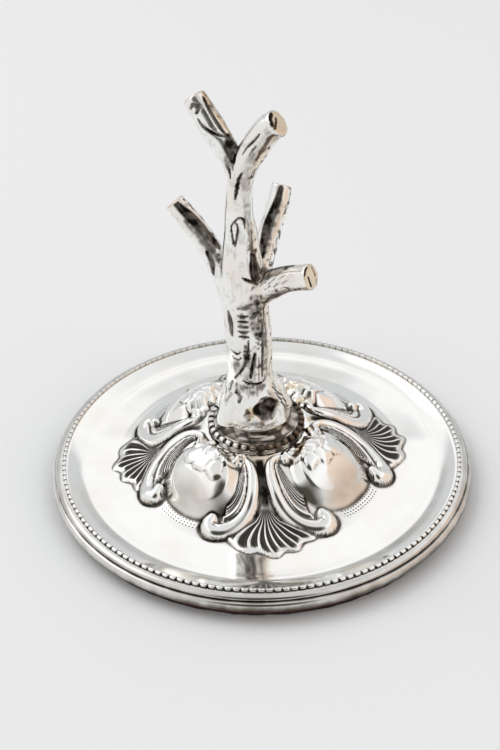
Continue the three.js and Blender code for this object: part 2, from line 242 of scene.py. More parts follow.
# %% Helpers for all nodes
def add_node(tree, kind, parts=None):
    """Adds a node. Each part is one of its properties or inputs, by name or number. An input takes a plain
    value, the socket that feeds it, or a node whose first output feeds it."""
    node = tree.nodes.new(kind)
    for name, value in (parts or {}).items():
        source = value.outputs[0] if isinstance(value, bpy.types.Node) else value
        if isinstance(source, bpy.types.NodeSocket):
            tree.links.new(source, node.inputs[name])
        elif hasattr(node, str(name)):
            setattr(node, name, value)
        else:
            node.inputs[name].default_value = value
    return node


def blended(tree, low, high, low_end, high_end, value):
    """Two colours, plain or sockets, blended while a value goes from its low end to its high end."""
    share = add_node(tree, "ShaderNodeMapRange", {"From Min": low_end, "From Max": high_end, "Value": value})
    mix = add_node(tree, "ShaderNodeMix", {"data_type": "RGBA", 0: share, 6: low, 7: high})
    return mix.outputs[2]


# %% The room that the silver mirrors
ROOM_WHITE = linear("#ffffff")
ROOM_LOW = linear("#e9e9e8")
ROOM_GREY = linear("#d2d4d6")
ROOM_CEILING = linear("#e2e3e4")
ROOM_DARK = linear("#4b4840")
ROOM_WARM = linear("#efdccd")
PAPER = linear("#ecedee")
WINDOW_PLACE = (-420, 260, 620)
LAMP_TARGET = (0, 0, 40)

world = bpy.data.worlds.new("studio")
bpy.context.scene.world = world
world.use_nodes = True
room = world.node_tree
room.nodes.clear()
direction = add_node(room, "ShaderNodeTexCoord").outputs["Generated"]
direction_parts = add_node(room, "ShaderNodeSeparateXYZ", {0: direction}).outputs


def towards(place):
    """How far a direction points to a place: the dot product of the two, which is 1 straight at it."""
    way = (place / np.linalg.norm(place)).tolist()
    product = add_node(room, "ShaderNodeVectorMath", {"operation": "DOT_PRODUCT", 0: direction, 1: way})
    return product.outputs["Value"]


# Each colour takes over between two values of how far the direction points to the right, to the back, up or
# to the camera.
low_walls = blended(room, ROOM_LOW, ROOM_WARM, 0.3, 0.8, direction_parts["X"])
low_walls = blended(room, low_walls, ROOM_GREY, 0.35, 0.6, direction_parts["Y"])
walls = blended(room, low_walls, ROOM_WHITE, 0.56, 0.62, direction_parts["Z"])
walls = blended(room, walls, ROOM_CEILING, 0.76, 0.94, direction_parts["Z"])
with_tripod = blended(room, walls, ROOM_DARK, 0.87, 0.96, towards(CAMERA_PLACE))
seen = add_node(room, "ShaderNodeLightPath").outputs["Is Camera Ray"]
backdrop = blended(room, with_tripod, PAPER, 0, 1, seen)
window = towards(np.subtract(WINDOW_PLACE, LAMP_TARGET))
glow = add_node(room, "ShaderNodeMapRange", {
    "From Min": 0.91, "From Max": 0.97, "To Min": 1.0, "To Max": 1.8, "Value": window})
shine = add_node(room, "ShaderNodeBackground", {"Color": backdrop, "Strength": glow})
add_node(room, "ShaderNodeOutputWorld", {"Surface": shine})
print("room nodes:", len(room.nodes))


# %% Floor and lamps
def new_material(name):
    """An empty material, and the tree that its nodes stand in."""
    material = bpy.data.materials.new(name)
    material.use_nodes = True
    material.node_tree.nodes.clear()
    return material, material.node_tree


def close_material(tree, parts):
    """Ends a material's tree with a Principled shader that has the given parts, and with the output."""
    shader = add_node(tree, "ShaderNodeBsdfPrincipled", parts)
    add_node(tree, "ShaderNodeOutputMaterial", {"Surface": shader})


FLOOR_HALF = 1500
floor_mesh = bpy.data.meshes.new("paper_floor")
floor_corners = np.array([[-1, -1, 0], [1, -1, 0], [1, 1, 0], [-1, 1, 0]]) * FLOOR_HALF * MM
floor_mesh.from_pydata(floor_corners.tolist(), [], [[0, 1, 2, 3]])
floor = new_object("paper_floor", floor_mesh)
paper_material, paper_tree = new_material("matt_paper")
close_material(paper_tree, {"Base Color": PAPER, "Roughness": 0.9, "Specular IOR Level": 0.1})
floor_mesh.materials.append(paper_material)


def soft_lamp(name, place, size, power):
    """A square area lamp at a place in millimetres that points at the middle of the object. The silver
    mirrors the room with its soft window and not the lamps, which would leave hard-edged patches."""
    data = bpy.data.lights.new(name, "AREA")
    data.shape = "SQUARE"
    data.size = size * MM
    data.energy = power
    lamp = new_object(name, data)
    lamp.visible_glossy = False
    aim = Vector(LAMP_TARGET) - Vector(place)
    turn = aim.to_track_quat("-Z", "Y").to_matrix().to_4x4()
    lamp.matrix_world = Matrix.Translation(Vector(place) * MM) @ turn


soft_lamp("window_light", WINDOW_PLACE, 520, 1.0)
soft_lamp("fill_light", (500, -300, 500), 600, 0.5)
print("floor and lamps are in place")

# %% [markdown]
# ## The foot
#
# The foot is one sheet of silver. It was pressed into a die and then chased, which is why it has soft bosses
# next to sharp grooves. The same sheet runs out over the mirror-polished plate to the rim, where it is
# rolled under. A sheet like that is a height over a plane, so it is built as rings of points round the
# middle: each ring is one step of the turned profile, and the ornament lifts its points. The rings lie
# closer together where the ornament is, and so do the points along a ring near the four fans.

# %% Sizes of the foot, in millimetres, as in the CAD source
BOARD_TOP = 2.2
SHEET = 0.6
PLATE_HEIGHT = 4.6
DOME_RISE = 8.95
DOME_TOP = PLATE_HEIGHT + DOME_RISE
SEAT_RADIUS = 11
DOME_SPAN = 19.9
DOME_RADIUS = SEAT_RADIUS + DOME_SPAN
PLATE_RADIUS = 38.3
BORDER_SEAT = 5.8
BORDER_RADIUS = 42.25
BORDER_RISE = 0.7
ROLL_RADIUS = 1.3
ROLL_CENTRE = (43.7, 3.5)
LIP_RADIUS = 42.3
BORE_RADIUS = 1.8
LEAN = 1.0
QUARTER = np.pi / 2
DOME_SHARES = [
    (0, 1), (0.12, 0.95), (0.26, 0.83), (0.42, 0.6), (0.58, 0.31), (0.74, 0.1), (0.88, 0.02), (1, 0),
]

dome_rows = np.array(DOME_SHARES) * (DOME_SPAN, DOME_RISE) + (SEAT_RADIUS, PLATE_HEIGHT)
dome_line = smooth_line(dome_rows, 200)
print("dome from", dome_line[0], "to", dome_line[-1])


# %% The hill of a boss
BOSS_PLACE = SEAT_RADIUS + 0.385 * DOME_SPAN
BOSS_LENGTH = 0.36 * DOME_SPAN
BOSS_WIDTH = 0.46 * DOME_SPAN
BOSS_RISE = 3.1
BOSS_DENTS = ((2.4, 0.16), (1.1, 0.05))
UNDERSIDE_SHARE = 0.9


def boss_share(x, y):
    """How far out in the nearest boss a point lies: 0 in its middle and 1 on its oval edge."""
    radius = np.hypot(x, y)
    turn = np.arctan2(y, x) % QUARTER - QUARTER / 2
    along = (radius * np.cos(turn) - BOSS_PLACE) / BOSS_LENGTH
    aside = radius * np.sin(turn) / BOSS_WIDTH
    return np.hypot(along, aside), along, aside


def boss_lift(x, y):
    """The lift of a boss: an oval dome with a few soft dents, whose edge runs out softly into the sheet."""
    hill = np.clip(1 - boss_share(x, y)[0] ** 2, 0, 1)
    rise = BOSS_RISE
    for seed, (size, swing) in enumerate(BOSS_DENTS, 40):
        rise = rise + swing * (grain(over_plane(x, y) / size, seed) - 0.5)
    return rise * np.sqrt(hill) * np.minimum(1, hill * 2)


# %% [markdown]
# ### Scrolls, fans and leaves
#
# Between two bosses a pair of C-scrolls runs outwards and ends in round heads, and a fan opens under the
# heads. All of these follow lines. For each point of the sheet the nearest place on such a line is found,
# and the distance beside the line then says how high the ridge, its flutes or a blade stands there. One
# scroll and one fan are enough: the foot repeats them every quarter turn, mirrored on either side of the
# fan's middle line.

# %% Distance beside a line
def beside_line(line, u, v):
    """Signed distance of each point from a line, positive on its left, and the share along it of the foot."""
    along = unit_rows(np.gradient(line, axis=0))
    apart_u = u[:, None] - line[:, 0]
    apart_v = v[:, None] - line[:, 1]
    gaps = np.hypot(apart_u, apart_v)
    nearest = gaps.argmin(axis=1)
    pick = np.arange(len(u)), nearest
    side = along[nearest, 0] * apart_v[pick] - along[nearest, 1] * apart_u[pick]
    past_end = (nearest == 0) | (nearest == len(line) - 1)
    distance = np.where(past_end, gaps[pick], np.abs(side))
    return np.where(side < 0, -distance, distance), nearest / (len(line) - 1)


def half_round(offset, half_width):
    """The height of a half-round ridge, as a share of its crown: the root of 1 - (offset / half width)^2."""
    return np.sqrt(np.clip(1 - (offset / half_width) ** 2, 0, 1))


# %% One C-scroll with its flutes
# The rows follow the ridge from its inner curl to the middle of its head: out, aside, half width and crown.
SCROLL_ROWS = [
    (12.5, 5.1, 0.8, 1.0), (11.8, 4.3, 0.65, 1.0), (12.2, 3.0, 0.75, 1.1), (13.6, 2.1, 0.95, 1.2),
    (15.6, 1.85, 1.15, 1.3), (18.0, 2.05, 1.3, 1.35), (20.6, 2.9, 1.35, 1.4), (22.8, 4.6, 1.35, 1.4),
    (24.3, 7.0, 1.4, 1.5), (24.9, 9.6, 1.6, 1.7), (24.5, 11.6, 1.8, 2.0), (23.3, 12.2, 1.75, 2.2),
    (22.5, 11.3, 1.4, 2.1),
]
# The band beside the ridge: how wide it is at each share of the ridge's length, and its section, which is a
# slot, a second narrow ridge, a groove and then a slope that carries the flutes.
BAND_SHARES = [0.2, 0.33, 0.5, 0.66, 0.78, 0.88]
BAND_WIDTHS = [0.6, 1.5, 2.8, 3.9, 4.1, 3.4]
SECTION_SHARES = [0, 0.05, 0.16, 0.27, 0.34, 0.44, 1, 1.12]
SECTION_HEIGHTS = [0.5, 0.8, 1.15, 0.9, 0.6, 0.8, 0.35, 0]
FLUTES = 4
FLUTE_START = 0.38
# The stretch of the ridge that has the band, as shares: where it starts, is full, begins to end and ends.
BAND_STRETCH = (0.2, 0.26, 0.85, 0.9)


def scroll_lift(u, v):
    """The lift of a scroll, and each point's place across its flutes with how clearly they show there."""
    rows = smooth_line(SCROLL_ROWS, 150)
    offset, share = beside_line(rows[:, :2], u, np.abs(v))
    steps = np.linspace(0, 1, len(rows))
    half_width = np.interp(share, steps, rows[:, 2])
    crown = np.interp(share, steps, rows[:, 3])
    ridge = crown * half_round(offset, half_width)
    across = (offset - half_width * 0.96) / np.interp(share, BAND_SHARES, BAND_WIDTHS)
    band = np.interp(across, SECTION_SHARES, SECTION_HEIGHTS) * crown / 1.5
    inside = (across > 0) & (share > BAND_STRETCH[0]) & (share < BAND_STRETCH[3])
    phase = (across - FLUTE_START) / (1 - FLUTE_START) * FLUTES
    clear = soft_window(0, 0.3, FLUTES, FLUTES + 0.3, phase) * soft_window(*BAND_STRETCH, share)
    lift = np.maximum(ridge, np.where(inside, band, 0))
    return lift, np.clip(phase, -1, FLUTES + 1), np.where(inside, clear, 0)


# %% One fan
FAN_ROOT = 21.0
FAN_LENGTH = 10.9
FAN_BLADES = 9
# How far the blades swing to one side towards their ends, and the waves of the fan's smooth lip.
FAN_SWEEP = 0.34
LIP_WAVE_BLADES = 2.6
LIP_WAVE = 0.055
LIP_WIDTH = 0.065
# At each share of the length: how far aside the outermost blade stands, and how far back it lags.
FAN_SHARES = [0, 0.12, 0.3, 0.5, 0.7, 0.85, 1.1]
FAN_ASIDE = [0.6, 1.1, 2.6, 5.2, 7.4, 8.6, 9.9]
FAN_LAG = [0, 0.1, 0.6, 1.9, 3.3, 4.2, 5.6]


def fan_lift(u, v):
    """The lift of a fan, with the place of each point across its blades. A point's share of the length and
    its spread between the outermost blades follow from each other, so both are found by repeating the two
    steps."""
    share = (u - FAN_ROOT) / FAN_LENGTH
    for _ in range(12):
        spread = np.clip(v / np.interp(share, FAN_SHARES, FAN_ASIDE), -1.4, 1.4)
        share = (u - FAN_ROOT + np.interp(share, FAN_SHARES, FAN_LAG) * spread**2) / FAN_LENGTH
    swung = spread - FAN_SWEEP * np.clip(share, 0, 1) ** 2 * np.clip(1 - spread**2, 0, 1)
    phase = (swung + 1) / 2 * FAN_BLADES
    blade = 0.5 - 0.5 * np.cos(2 * np.pi * phase)
    end = 1 - LIP_WAVE * (1 + np.cos(2 * np.pi * phase / LIP_WAVE_BLADES + 1))
    lip = soft_step(-2 * LIP_WIDTH, -LIP_WIDTH, share - end)
    body = soft_step(-0.05, 0.1, share) * np.sqrt(np.clip((end - share) / 0.16, 0, 1))
    body = body * np.sqrt(np.clip((1.06 - np.abs(spread)) / 0.12, 0, 1))
    ground = np.interp(share, [0, 0.35, 0.8, 1], [0.35, 0.25, 0.35, 0.3])
    lift = body * (ground + 0.4 * blade * soft_step(0.1, 0.5, share) * (1 - lip) + 0.35 * lip)
    clear = np.minimum(1, body) * soft_step(-0.05, 0.1, share) * (1 - lip)
    return lift, np.clip(phase, -1, FAN_BLADES + 1), clear


# %% The leaves on a boss
# Each row of lobes: how far out it stands, how many lobes it has, how far they spread, and their radius and
# height. The lobes of a row are set between those of the row before.
LEAF_ROWS = [(12.4, 5, 4.9, 1.45, 0.8), (14.5, 4, 3.9, 1.65, 0.65), (17.0, 3, 2.9, 1.9, 0.4)]
LEAF_WAVE = 1.8
LEAF_SHIFT = 1.5


def leaf_lift(x, y):
    """Soft flat lobes, bent by noise, on the inner end of each boss; a crease is left where two meet."""
    places = over_plane(x, y) / LEAF_WAVE
    bent_x = x + LEAF_SHIFT * (grain(places, 5) - 0.5)
    bent_y = y + LEAF_SHIFT * (grain(places, 6) - 0.5)
    radius = np.hypot(bent_x, bent_y)
    turn = np.arctan2(bent_y, bent_x) % QUARTER - QUARTER / 2
    out = radius * np.cos(turn)
    aside = radius * np.sin(turn)
    lift = np.zeros(len(x))
    for row_out, count, spread, lobe_radius, height in LEAF_ROWS:
        for place in np.linspace(-spread, spread, count):
            gap = np.hypot(out - row_out + 0.03 * place**2, aside - place) / lobe_radius
            lift = np.maximum(lift, height * np.clip(1 - gap**3, 0, 1) ** 0.7)
    return lift


# %% The punched ground round the outer end of a boss
PUNCH_PITCH = 0.62
PUNCH_BAND = 2.2
PUNCH_REACH = 4.0


def punched_rows(x, y):
    """The place of each point in the rows of punch marks that follow the outer edge of a boss: across the
    rows, along them, and how clearly they show there. They fill the gap between the heads of two scrolls."""
    share, along, aside = boss_share(x, y)
    beyond = (share - 1) * BOSS_LENGTH
    around = np.arctan2(aside, along) * BOSS_LENGTH * np.maximum(share, 0.8)
    clear = soft_window(-0.1, 0.2, PUNCH_BAND - 0.5, PUNCH_BAND, beyond)
    clear = clear * soft_step(PUNCH_REACH + 1.0, PUNCH_REACH, np.abs(around))
    return beyond / PUNCH_PITCH, around / PUNCH_PITCH, clear


# %% The whole relief of the dome
HAND_WAVE = 6.0
HAND_SHIFT = 0.5
# How far the scrolls and the fan of each quarter are turned from their true place, in degrees, for the
# right, the back, the left and the front.
QUARTER_SLIPS = [1.5, 0.0, -1.0, -2.6]
# The dark channel between the two scrolls: half its width, and where it starts, is full, fades and ends.
CHANNEL_HALF = 0.75
CHANNEL_STRETCH = (11.5, 12.5, 20.5, 22.5)
STAIN_WAVE = 2.0


def dome_relief(x, y):
    """The ornament's lift over the turned sheet, the highest of boss, scroll and fan with the leaves on top,
    and what the finish needs to know. The places are first shifted a little by slow noise, as no two quarters
    of hand work are quite alike. A fan or a scroll shows its lines only where it is the higher of the two."""
    places = over_plane(x, y)
    x = x + HAND_SHIFT * (grain(places / HAND_WAVE, 3) - 0.5)
    y = y + HAND_SHIFT * (grain(places / HAND_WAVE, 4) - 0.5)
    radius = np.hypot(x, y)
    angle = np.arctan2(y, x) + QUARTER / 2
    slip = np.radians(QUARTER_SLIPS)[(angle // QUARTER).astype(int) % 4]
    turn = angle % QUARTER - QUARTER / 2 - slip
    u = radius * np.cos(turn)
    v = radius * np.sin(turn)
    boss = boss_lift(x, y)
    scroll, flute_phase, flutes_clear = scroll_lift(u, v)
    fan, blade_phase, blades_clear = fan_lift(u, v)
    leaves = leaf_lift(x, y)
    row_phase, step_phase, punch_clear = punched_rows(x, y)
    ornament = np.maximum(scroll, fan)
    on_scroll = scroll > fan
    flutes_clear = flutes_clear * soft_step(0, 0.25, scroll - np.maximum(fan, boss))
    blades_clear = blades_clear * soft_step(0, 0.25, fan - scroll) * soft_step(0.4, 0, boss)
    channel = soft_step(CHANNEL_HALF + 0.3, CHANNEL_HALF - 0.3, np.abs(v))
    channel = channel * soft_window(*CHANNEL_STRETCH, u)
    blade_film = 0.5 * blades_clear * (1 - on_scroll) * soft_step(24.5, 21.5, u)
    # A straw stain round the collar, mostly on the right, and painted shade, grey and a little warm, on the
    # outer part of the front bosses.
    stain = soft_step(16.5, 12, radius) * soft_step(0.4, 0.7, grain(places / STAIN_WAVE, 8))
    stain = stain * soft_step(-14, 8, x)
    boss_place, boss_along, _ = boss_share(x, y)
    shade = soft_step(0.1, 0.6, boss_along) * soft_step(1.05, 0.8, boss_place) * soft_step(0, -6, y)
    return {
        "lift": np.maximum(boss, ornament) + leaves * soft_step(0.3, 0.9, 1 + leaves + boss - ornament),
        "line_place": np.where(on_scroll, flute_phase, blade_phase),
        "line_depth": np.where(on_scroll, flutes_clear, blades_clear),
        "punch_row": row_phase,
        "punch_step": step_phase,
        "punch_depth": 0.65 * punch_clear * soft_step(0.25, 0.05, ornament),
        "film": np.maximum(channel, blade_film) + 0.2 * shade,
        "warmth": np.maximum(stain, 0.15 * shade),
        "leaf": soft_step(0.05, 0.3, leaves),
    }


# %% Rings and points of the sheet
COLUMNS = 600
CROWDING = 0.25
RELIEF_INNER = 10.9
RELIEF_OUTER = 33.5
RELIEF_STEP = 0.235

even = np.arange(COLUMNS) / COLUMNS * 2 * np.pi
column_angles = even - CROWDING / 4 * np.sin(4 * even)


def arc(centre, radius, first_degrees, last_degrees, count):
    """Points of a circle in the plane of radius and height."""
    angles = np.radians(np.linspace(first_degrees, last_degrees, count))
    return [(centre[0] + radius * np.cos(angle), centre[1] + radius * np.sin(angle)) for angle in angles]


relief_radii = np.arange(RELIEF_INNER, RELIEF_OUTER, RELIEF_STEP)
relief_rings = np.stack([relief_radii, np.interp(relief_radii, *dome_line.T)], axis=1)
plate_rings = [(34.5, 4.6), (35.5, 4.6), (36.3, 4.61), (37.1, 4.64), (37.7, 4.68), (37.95, 4.67), (38.2, 4.7)]
ramp_rings = [
    (38.45, 4.73), (38.8, 4.81), (39.4, 4.98), (40.1, 5.23), (40.8, 5.5), (41.25, 5.69), (41.5, 5.79),
]
edge_rings = [
    (41.65, BORDER_SEAT), (42.85, BORDER_SEAT), (43.2, 5.77), (43.55, 5.66), (43.83, 5.49), (44.02, 5.3),
    (44.12, 5.13), (44.1, 5.02), (43.75, 4.95), (43.7, 4.75), (43.9, 4.66),
]
under_radii = np.linspace(DOME_RADIUS, SEAT_RADIUS, 14)
under_rings = np.stack([under_radii, np.interp(under_radii, *dome_line.T) - SHEET], axis=1)
inner_rings = [(BORE_RADIUS, DOME_TOP), (6, DOME_TOP), (9.5, DOME_TOP), (10.6, DOME_TOP)]
roll_rings = arc(ROLL_CENTRE, ROLL_RADIUS, 56, -90, 12)
upper_rings = [*inner_rings, *relief_rings, *plate_rings, *ramp_rings, *edge_rings, *roll_rings]
lower_rings = [
    (LIP_RADIUS, BOARD_TOP), (LIP_RADIUS, BOARD_TOP + SHEET),
    *arc(ROLL_CENTRE, ROLL_RADIUS - SHEET, -90, 90, 5),
    (BORDER_RADIUS, BORDER_SEAT - SHEET), (PLATE_RADIUS, PLATE_HEIGHT - SHEET),
    *under_rings, (BORE_RADIUS, DOME_TOP - SHEET),
]
rings = np.array([*upper_rings, *lower_rings])
print("rings:", len(rings), "points:", len(rings) * COLUMNS)

# %% The foot itself
PLATE_WAVES = ((11.0, 0.16), (5.0, 0.045))
# The radii where the waves of the plate start, are full, fade and end, and the one where the dome has ended.
WAVE_STRETCH = (24, 31, 38.5, 41.5)
PLATE_START = 34
# How dark the roll and the shoulder over it are at a few heights. On the roll this is tarnish and painted
# shade, darker towards the bottom, where the roll mirrors the shadow on the floor; on the shoulder it is
# painted shade, darkest in the groove at its foot.
ROLL_HEIGHTS = [BOARD_TOP, 2.9, 3.5, 4.2, 4.8]
ROLL_FILM_AND_SHADE = [1.0, 0.9, 0.65, 0.3, 0.25]
SHOULDER_START = 42.8
SHOULDER_HEIGHTS = [4.95, 5.05, 5.25, 5.6]
SHOULDER_SHADE = [1.0, 0.6, 0.3, 0.2]


def ring_points(radii, angles, heights):
    """Rows of x, y and z from matching grids of radii, angles about the upright axis, and heights."""
    radii, angles, heights = np.broadcast_arrays(radii, angles, heights)
    return np.stack([radii * np.cos(angles), radii * np.sin(angles), heights], axis=-1).reshape(-1, 3)


def foot_points():
    """Turns the rings into points, lifts the upper face by the relief and the lower face by the bosses alone,
    and shears the dome to the left by the lean, in proportion to its height. Also gives the finish's
    values."""
    x, y, heights = ring_points(rings[:, :1], column_angles, rings[:, 1:]).T
    radii = np.repeat(rings[:, 0], COLUMNS)
    ring_number = np.repeat(np.arange(len(rings)), COLUMNS)
    upper = ring_number < len(upper_rings)
    dome = upper & (radii > RELIEF_INNER - 0.1) & (radii < RELIEF_OUTER)
    relief = dome_relief(x[dome], y[dome])
    heights[dome] += relief.pop("lift")
    lower = ring_number >= len(rings) - len(under_rings) - 1
    heights[lower] += UNDERSIDE_SHARE * boss_lift(x[lower], y[lower])
    open_face = upper & (radii > RELIEF_INNER) & (radii < WAVE_STRETCH[3])
    for seed, (size, swing) in enumerate(PLATE_WAVES, 10):
        waves = swing * (grain(over_plane(x, y) / size, seed) - 0.5) * soft_window(*WAVE_STRETCH, radii)
        heights[open_face] += waves[open_face]
    values = {name: np.zeros(len(x)) for name in relief}
    for name, dome_values in relief.items():
        values[name][dome] = dome_values
    edge = upper & (ring_number >= len(upper_rings) - len(roll_rings))
    # Painted shade by height on the roll, with its tarnish, and on the shoulder; less on the roll's left.
    edge_film_and_shade = np.interp(heights, ROLL_HEIGHTS, ROLL_FILM_AND_SHADE) * (1 - 0.5 * soft_step(-10, -35, x))
    values["film"][edge] = edge_film_and_shade[edge]
    shoulder = upper & (radii > SHOULDER_START) & ~edge
    values["film"][shoulder] = np.interp(heights[shoulder], SHOULDER_HEIGHTS, SHOULDER_SHADE)
    leaning = LEAN * np.clip((heights - PLATE_HEIGHT) / DOME_RISE, 0, 1)
    return np.stack([x - leaning, y, heights], axis=1), values


# %% The foot, its tarnish and its painted shade
# Fine and broad hollows: the rounds of averaging that find them, and the depths in millimetres at which their
# film starts and is full.
FINE_ROUNDS = 5
FINE_DEPTHS = (0.01, 0.09)
BROAD_ROUNDS = 40
BROAD_DEPTHS = (0.12, 0.55)

foot_places, foot_values = foot_points()
foot = make_piece("embossed_foot", foot_places, grid_faces(len(rings), COLUMNS, wrap_rows=True))
fine_hollow = soft_step(*FINE_DEPTHS, hollowness(foot.data, FINE_ROUNDS))
broad_hollow = soft_step(*BROAD_DEPTHS, hollowness(foot.data, BROAD_ROUNDS))
from_middle = np.hypot(foot_places[:, 0], foot_places[:, 1])
outer_part = soft_step(20, 24, from_middle)
hollow_film = (1 - 0.25 * outer_part) * fine_hollow + (0.45 - 0.27 * outer_part) * broad_hollow
# The cloth reaches the leaves well, so their hollows keep less film. On the plate and the rim the hollows
# are painted darker at the front than at the back: painted shade.
rim_front_shade = 0.15 + 0.85 * soft_step(0, -30, foot_places[:, 1])
missed_and_front_shade = np.where(from_middle > PLATE_START, rim_front_shade, 1 - 0.8 * foot_values.pop("leaf"))
foot_tarnish_and_shade = np.clip(foot_values.pop("film") + missed_and_front_shade * hollow_film, 0, 1)
keep_attribute(foot.data, "tarnish_and_shade", foot_tarnish_and_shade)
for value_name, point_values in foot_values.items():
    keep_attribute(foot.data, value_name, point_values)
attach(foot, "root")
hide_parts("base_shell")
print("mean tarnish of the foot:", round(float(foot_tarnish_and_shade.mean()), 3))

# %% [markdown]
# ## The beaded border and the collar
#
# The border is bead wire: a soft silver wire that was rolled between grooved dies, bent to a ring and
# soldered to the shoulder of the foot. The collar was turned on a lathe and carries a ring of the same kind
# under a hollow neck. Bead wire is a round profile carried along a circle that swells at each bead and
# pinches between two.

# %% Bead wire
BORDER_BEADS = 166
COLLAR_BEADS = 34
STEPS_PER_BEAD = 8


def bead_wire_points(radius, height, half_width, rise, beads, pinch, inner_share, sides=8):
    """A ring of beads: between two beads the profile shrinks to the share called pinch, by a flattened
    half-round wave. On the inner side the notches are shallower by the given share. Dirt lies in the notches,
    and the wire's lower outer side is painted darker: painted shade."""
    steps = beads * STEPS_PER_BEAD
    angle = (np.arange(steps) / steps * 2 * np.pi)[:, None]
    along = np.abs((np.arange(steps) % STEPS_PER_BEAD) / STEPS_PER_BEAD * 2 - 1)[:, None]
    around = (np.arange(sides) + 0.5) / sides * 2 * np.pi
    outer = inner_share + (1 - inner_share) * np.clip(np.cos(around), 0, 1)
    size = 1 - (1 - pinch) * outer * (1 - np.sqrt(1 - along**3))
    out = radius + np.cos(around) * half_width * size
    up = height + np.sin(around) * rise * size
    dirt_and_shade = soft_step(0, 0.2, along - 1 + 0.55 * outer)
    dirt_and_shade = np.maximum(dirt_and_shade, outer * soft_step(0.2, -0.6, np.sin(around)))
    return ring_points(out, angle, up), grid_faces(steps, sides, wrap_rows=True), dirt_and_shade.ravel()


border_points, border_faces, border_dirt_and_shade = bead_wire_points(
    BORDER_RADIUS, BORDER_SEAT + BORDER_RISE / 2 - 0.1, 0.45, BORDER_RISE / 2, BORDER_BEADS, 0.35, 0.3)
border = make_piece("bead_wire_border", border_points, border_faces)
rubbed = soft_step(5, 30, border_points[:, 1])
keep_attribute(border.data, "tarnish_and_shade", border_dirt_and_shade * (1 - 0.75 * rubbed) + 0.22 * rubbed)
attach(border, "root")
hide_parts("bead_border")

# %% The turned collar and its beads
TREE_FOOT = 17.25
COLLAR_RADIUS = 10.2
NECK_RADIUS = 7.2
COLLAR_COLUMNS = 160


def turned_points(profile, columns):
    """Turns a closed profile of radius and height about the upright axis."""
    profile = np.asarray(profile, float)
    return ring_points(profile[:, :1], np.arange(columns) / columns * 2 * np.pi, profile[:, 1:])


neck_curve = smooth_line([(8.9, 14.95), (7.9, 14.9), (7.25, 15.3), (7.05, 16.1), (NECK_RADIUS, 17.0)], 14)
collar_profile = [
    (BORE_RADIUS, DOME_TOP), (9.9, DOME_TOP), (10.12, 13.6), (COLLAR_RADIUS, 13.75), (COLLAR_RADIUS, 13.9),
    (10.1, 14.03), (9.6, 14.08), *neck_curve, (7.1, TREE_FOOT), (BORE_RADIUS, TREE_FOOT),
]
collar = make_piece(
    "turned_collar", turned_points(collar_profile, COLLAR_COLUMNS) - (LEAN, 0, 0),
    grid_faces(len(collar_profile), COLLAR_COLUMNS, wrap_rows=True))
collar_places = points_of(collar.data)
collar_stain = soft_step(-5, 5, collar_places[:, 0] - 0.5 * collar_places[:, 1])
collar_patches = soft_step(0.3, 0.7, grain(collar_places / (1.4, 1.4, 0.6), 33))
collar_film = 0.25 + 0.6 * collar_patches * soft_step(17.2, 16.0, collar_places[:, 2])
keep_attribute(collar.data, "tarnish_and_shade", collar_film)
keep_attribute(collar.data, "warmth", 0.35 * collar_stain)
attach(collar, "root")
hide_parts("collar")

bead_points, bead_faces, bead_dirt_and_shade = bead_wire_points(
    9.5, DOME_TOP + 0.85, 0.78, 0.72, COLLAR_BEADS, 0.4, 1, sides=10)
bead_stain = soft_step(-3, 3, bead_points[:, 0] - 0.3 * bead_points[:, 1])
bead_points[:, 0] -= LEAN
collar_beads = make_piece("collar_beads", bead_points, bead_faces)
keep_attribute(collar_beads.data, "tarnish_and_shade", np.clip(0.08 + 0.85 * bead_dirt_and_shade + 0.5 * bead_stain, 0, 1))
keep_attribute(collar_beads.data, "warmth", 0.85 * bead_stain)
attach(collar_beads, "root")

# %% [markdown]
# ## The tree
#
# The tree was cast in one piece: a trunk with a flared foot and six roots, and five branches that were
# lopped off straight. Casting leaves no seams, so the limbs have to flow into each other. Each limb is swept
# as a round bar along its own line, then all of them are melted into one skin by a voxel remesh, which is
# the usual way to fuse shapes that pass through each other. The bark is pushed into that skin afterwards.

# %% The limbs' lines, as shares of the tree's reach and height and of the trunk's radius
TREE_HEIGHT = 69
TREE_REACH = 18.3
TRUNK_RADIUS = 4.7
TRUNK = [
    (-0.03, 0.01, -0.06, 1.5), (-0.035, 0.01, 0.03, 1.5), (-0.055, 0.01, 0.08, 1.2), (-0.06, 0.01, 0.14, 1),
    (-0.065, 0.01, 0.24, 1.01), (-0.08, 0.015, 0.35, 0.98), (-0.1, 0.02, 0.44, 0.97),
    (-0.12, 0.02, 0.52, 0.85), (-0.13, 0.02, 0.63, 0.66), (-0.14, 0.02, 0.72, 0.56),
    (-0.12, 0.02, 0.79, 0.54), (-0.04, 0.045, 0.842, 0.56), (0.045, 0.06, 0.88, 0.59),
    (0.16, 0.075, 0.92, 0.6), (0.28, 0.02, 0.95, 0.56),
]
UPPER_LEFT = [
    (-0.13, 0.02, 0.74, 0.36), (-0.19, 0.14, 0.83, 0.49), (-0.33, 0.31, 0.89, 0.53),
    (-0.43, 0.42, 0.933, 0.52), (-0.54, 0.54, 0.975, 0.5),
]
LOWER_LEFT = [
    (-0.11, 0.03, 0.35, 0.8), (-0.25, 0.15, 0.445, 0.66), (-0.4, 0.27, 0.515, 0.53),
    (-0.55, 0.38, 0.58, 0.48), (-0.79, 0.52, 0.66, 0.45),
]
REAR = [
    (-0.03, 0.04, 0.41, 0.6), (0.1, 0.2, 0.49, 0.55), (0.2, 0.36, 0.55, 0.52), (0.3, 0.51, 0.605, 0.5),
    (0.39, 0.66, 0.67, 0.45),
]
FRONT = [
    (-0.07, -0.02, 0.38, 0.72), (0.045, -0.03, 0.435, 0.74), (0.21, -0.13, 0.472, 0.62),
    (0.36, -0.23, 0.5, 0.56), (0.57, -0.38, 0.525, 0.56),
]
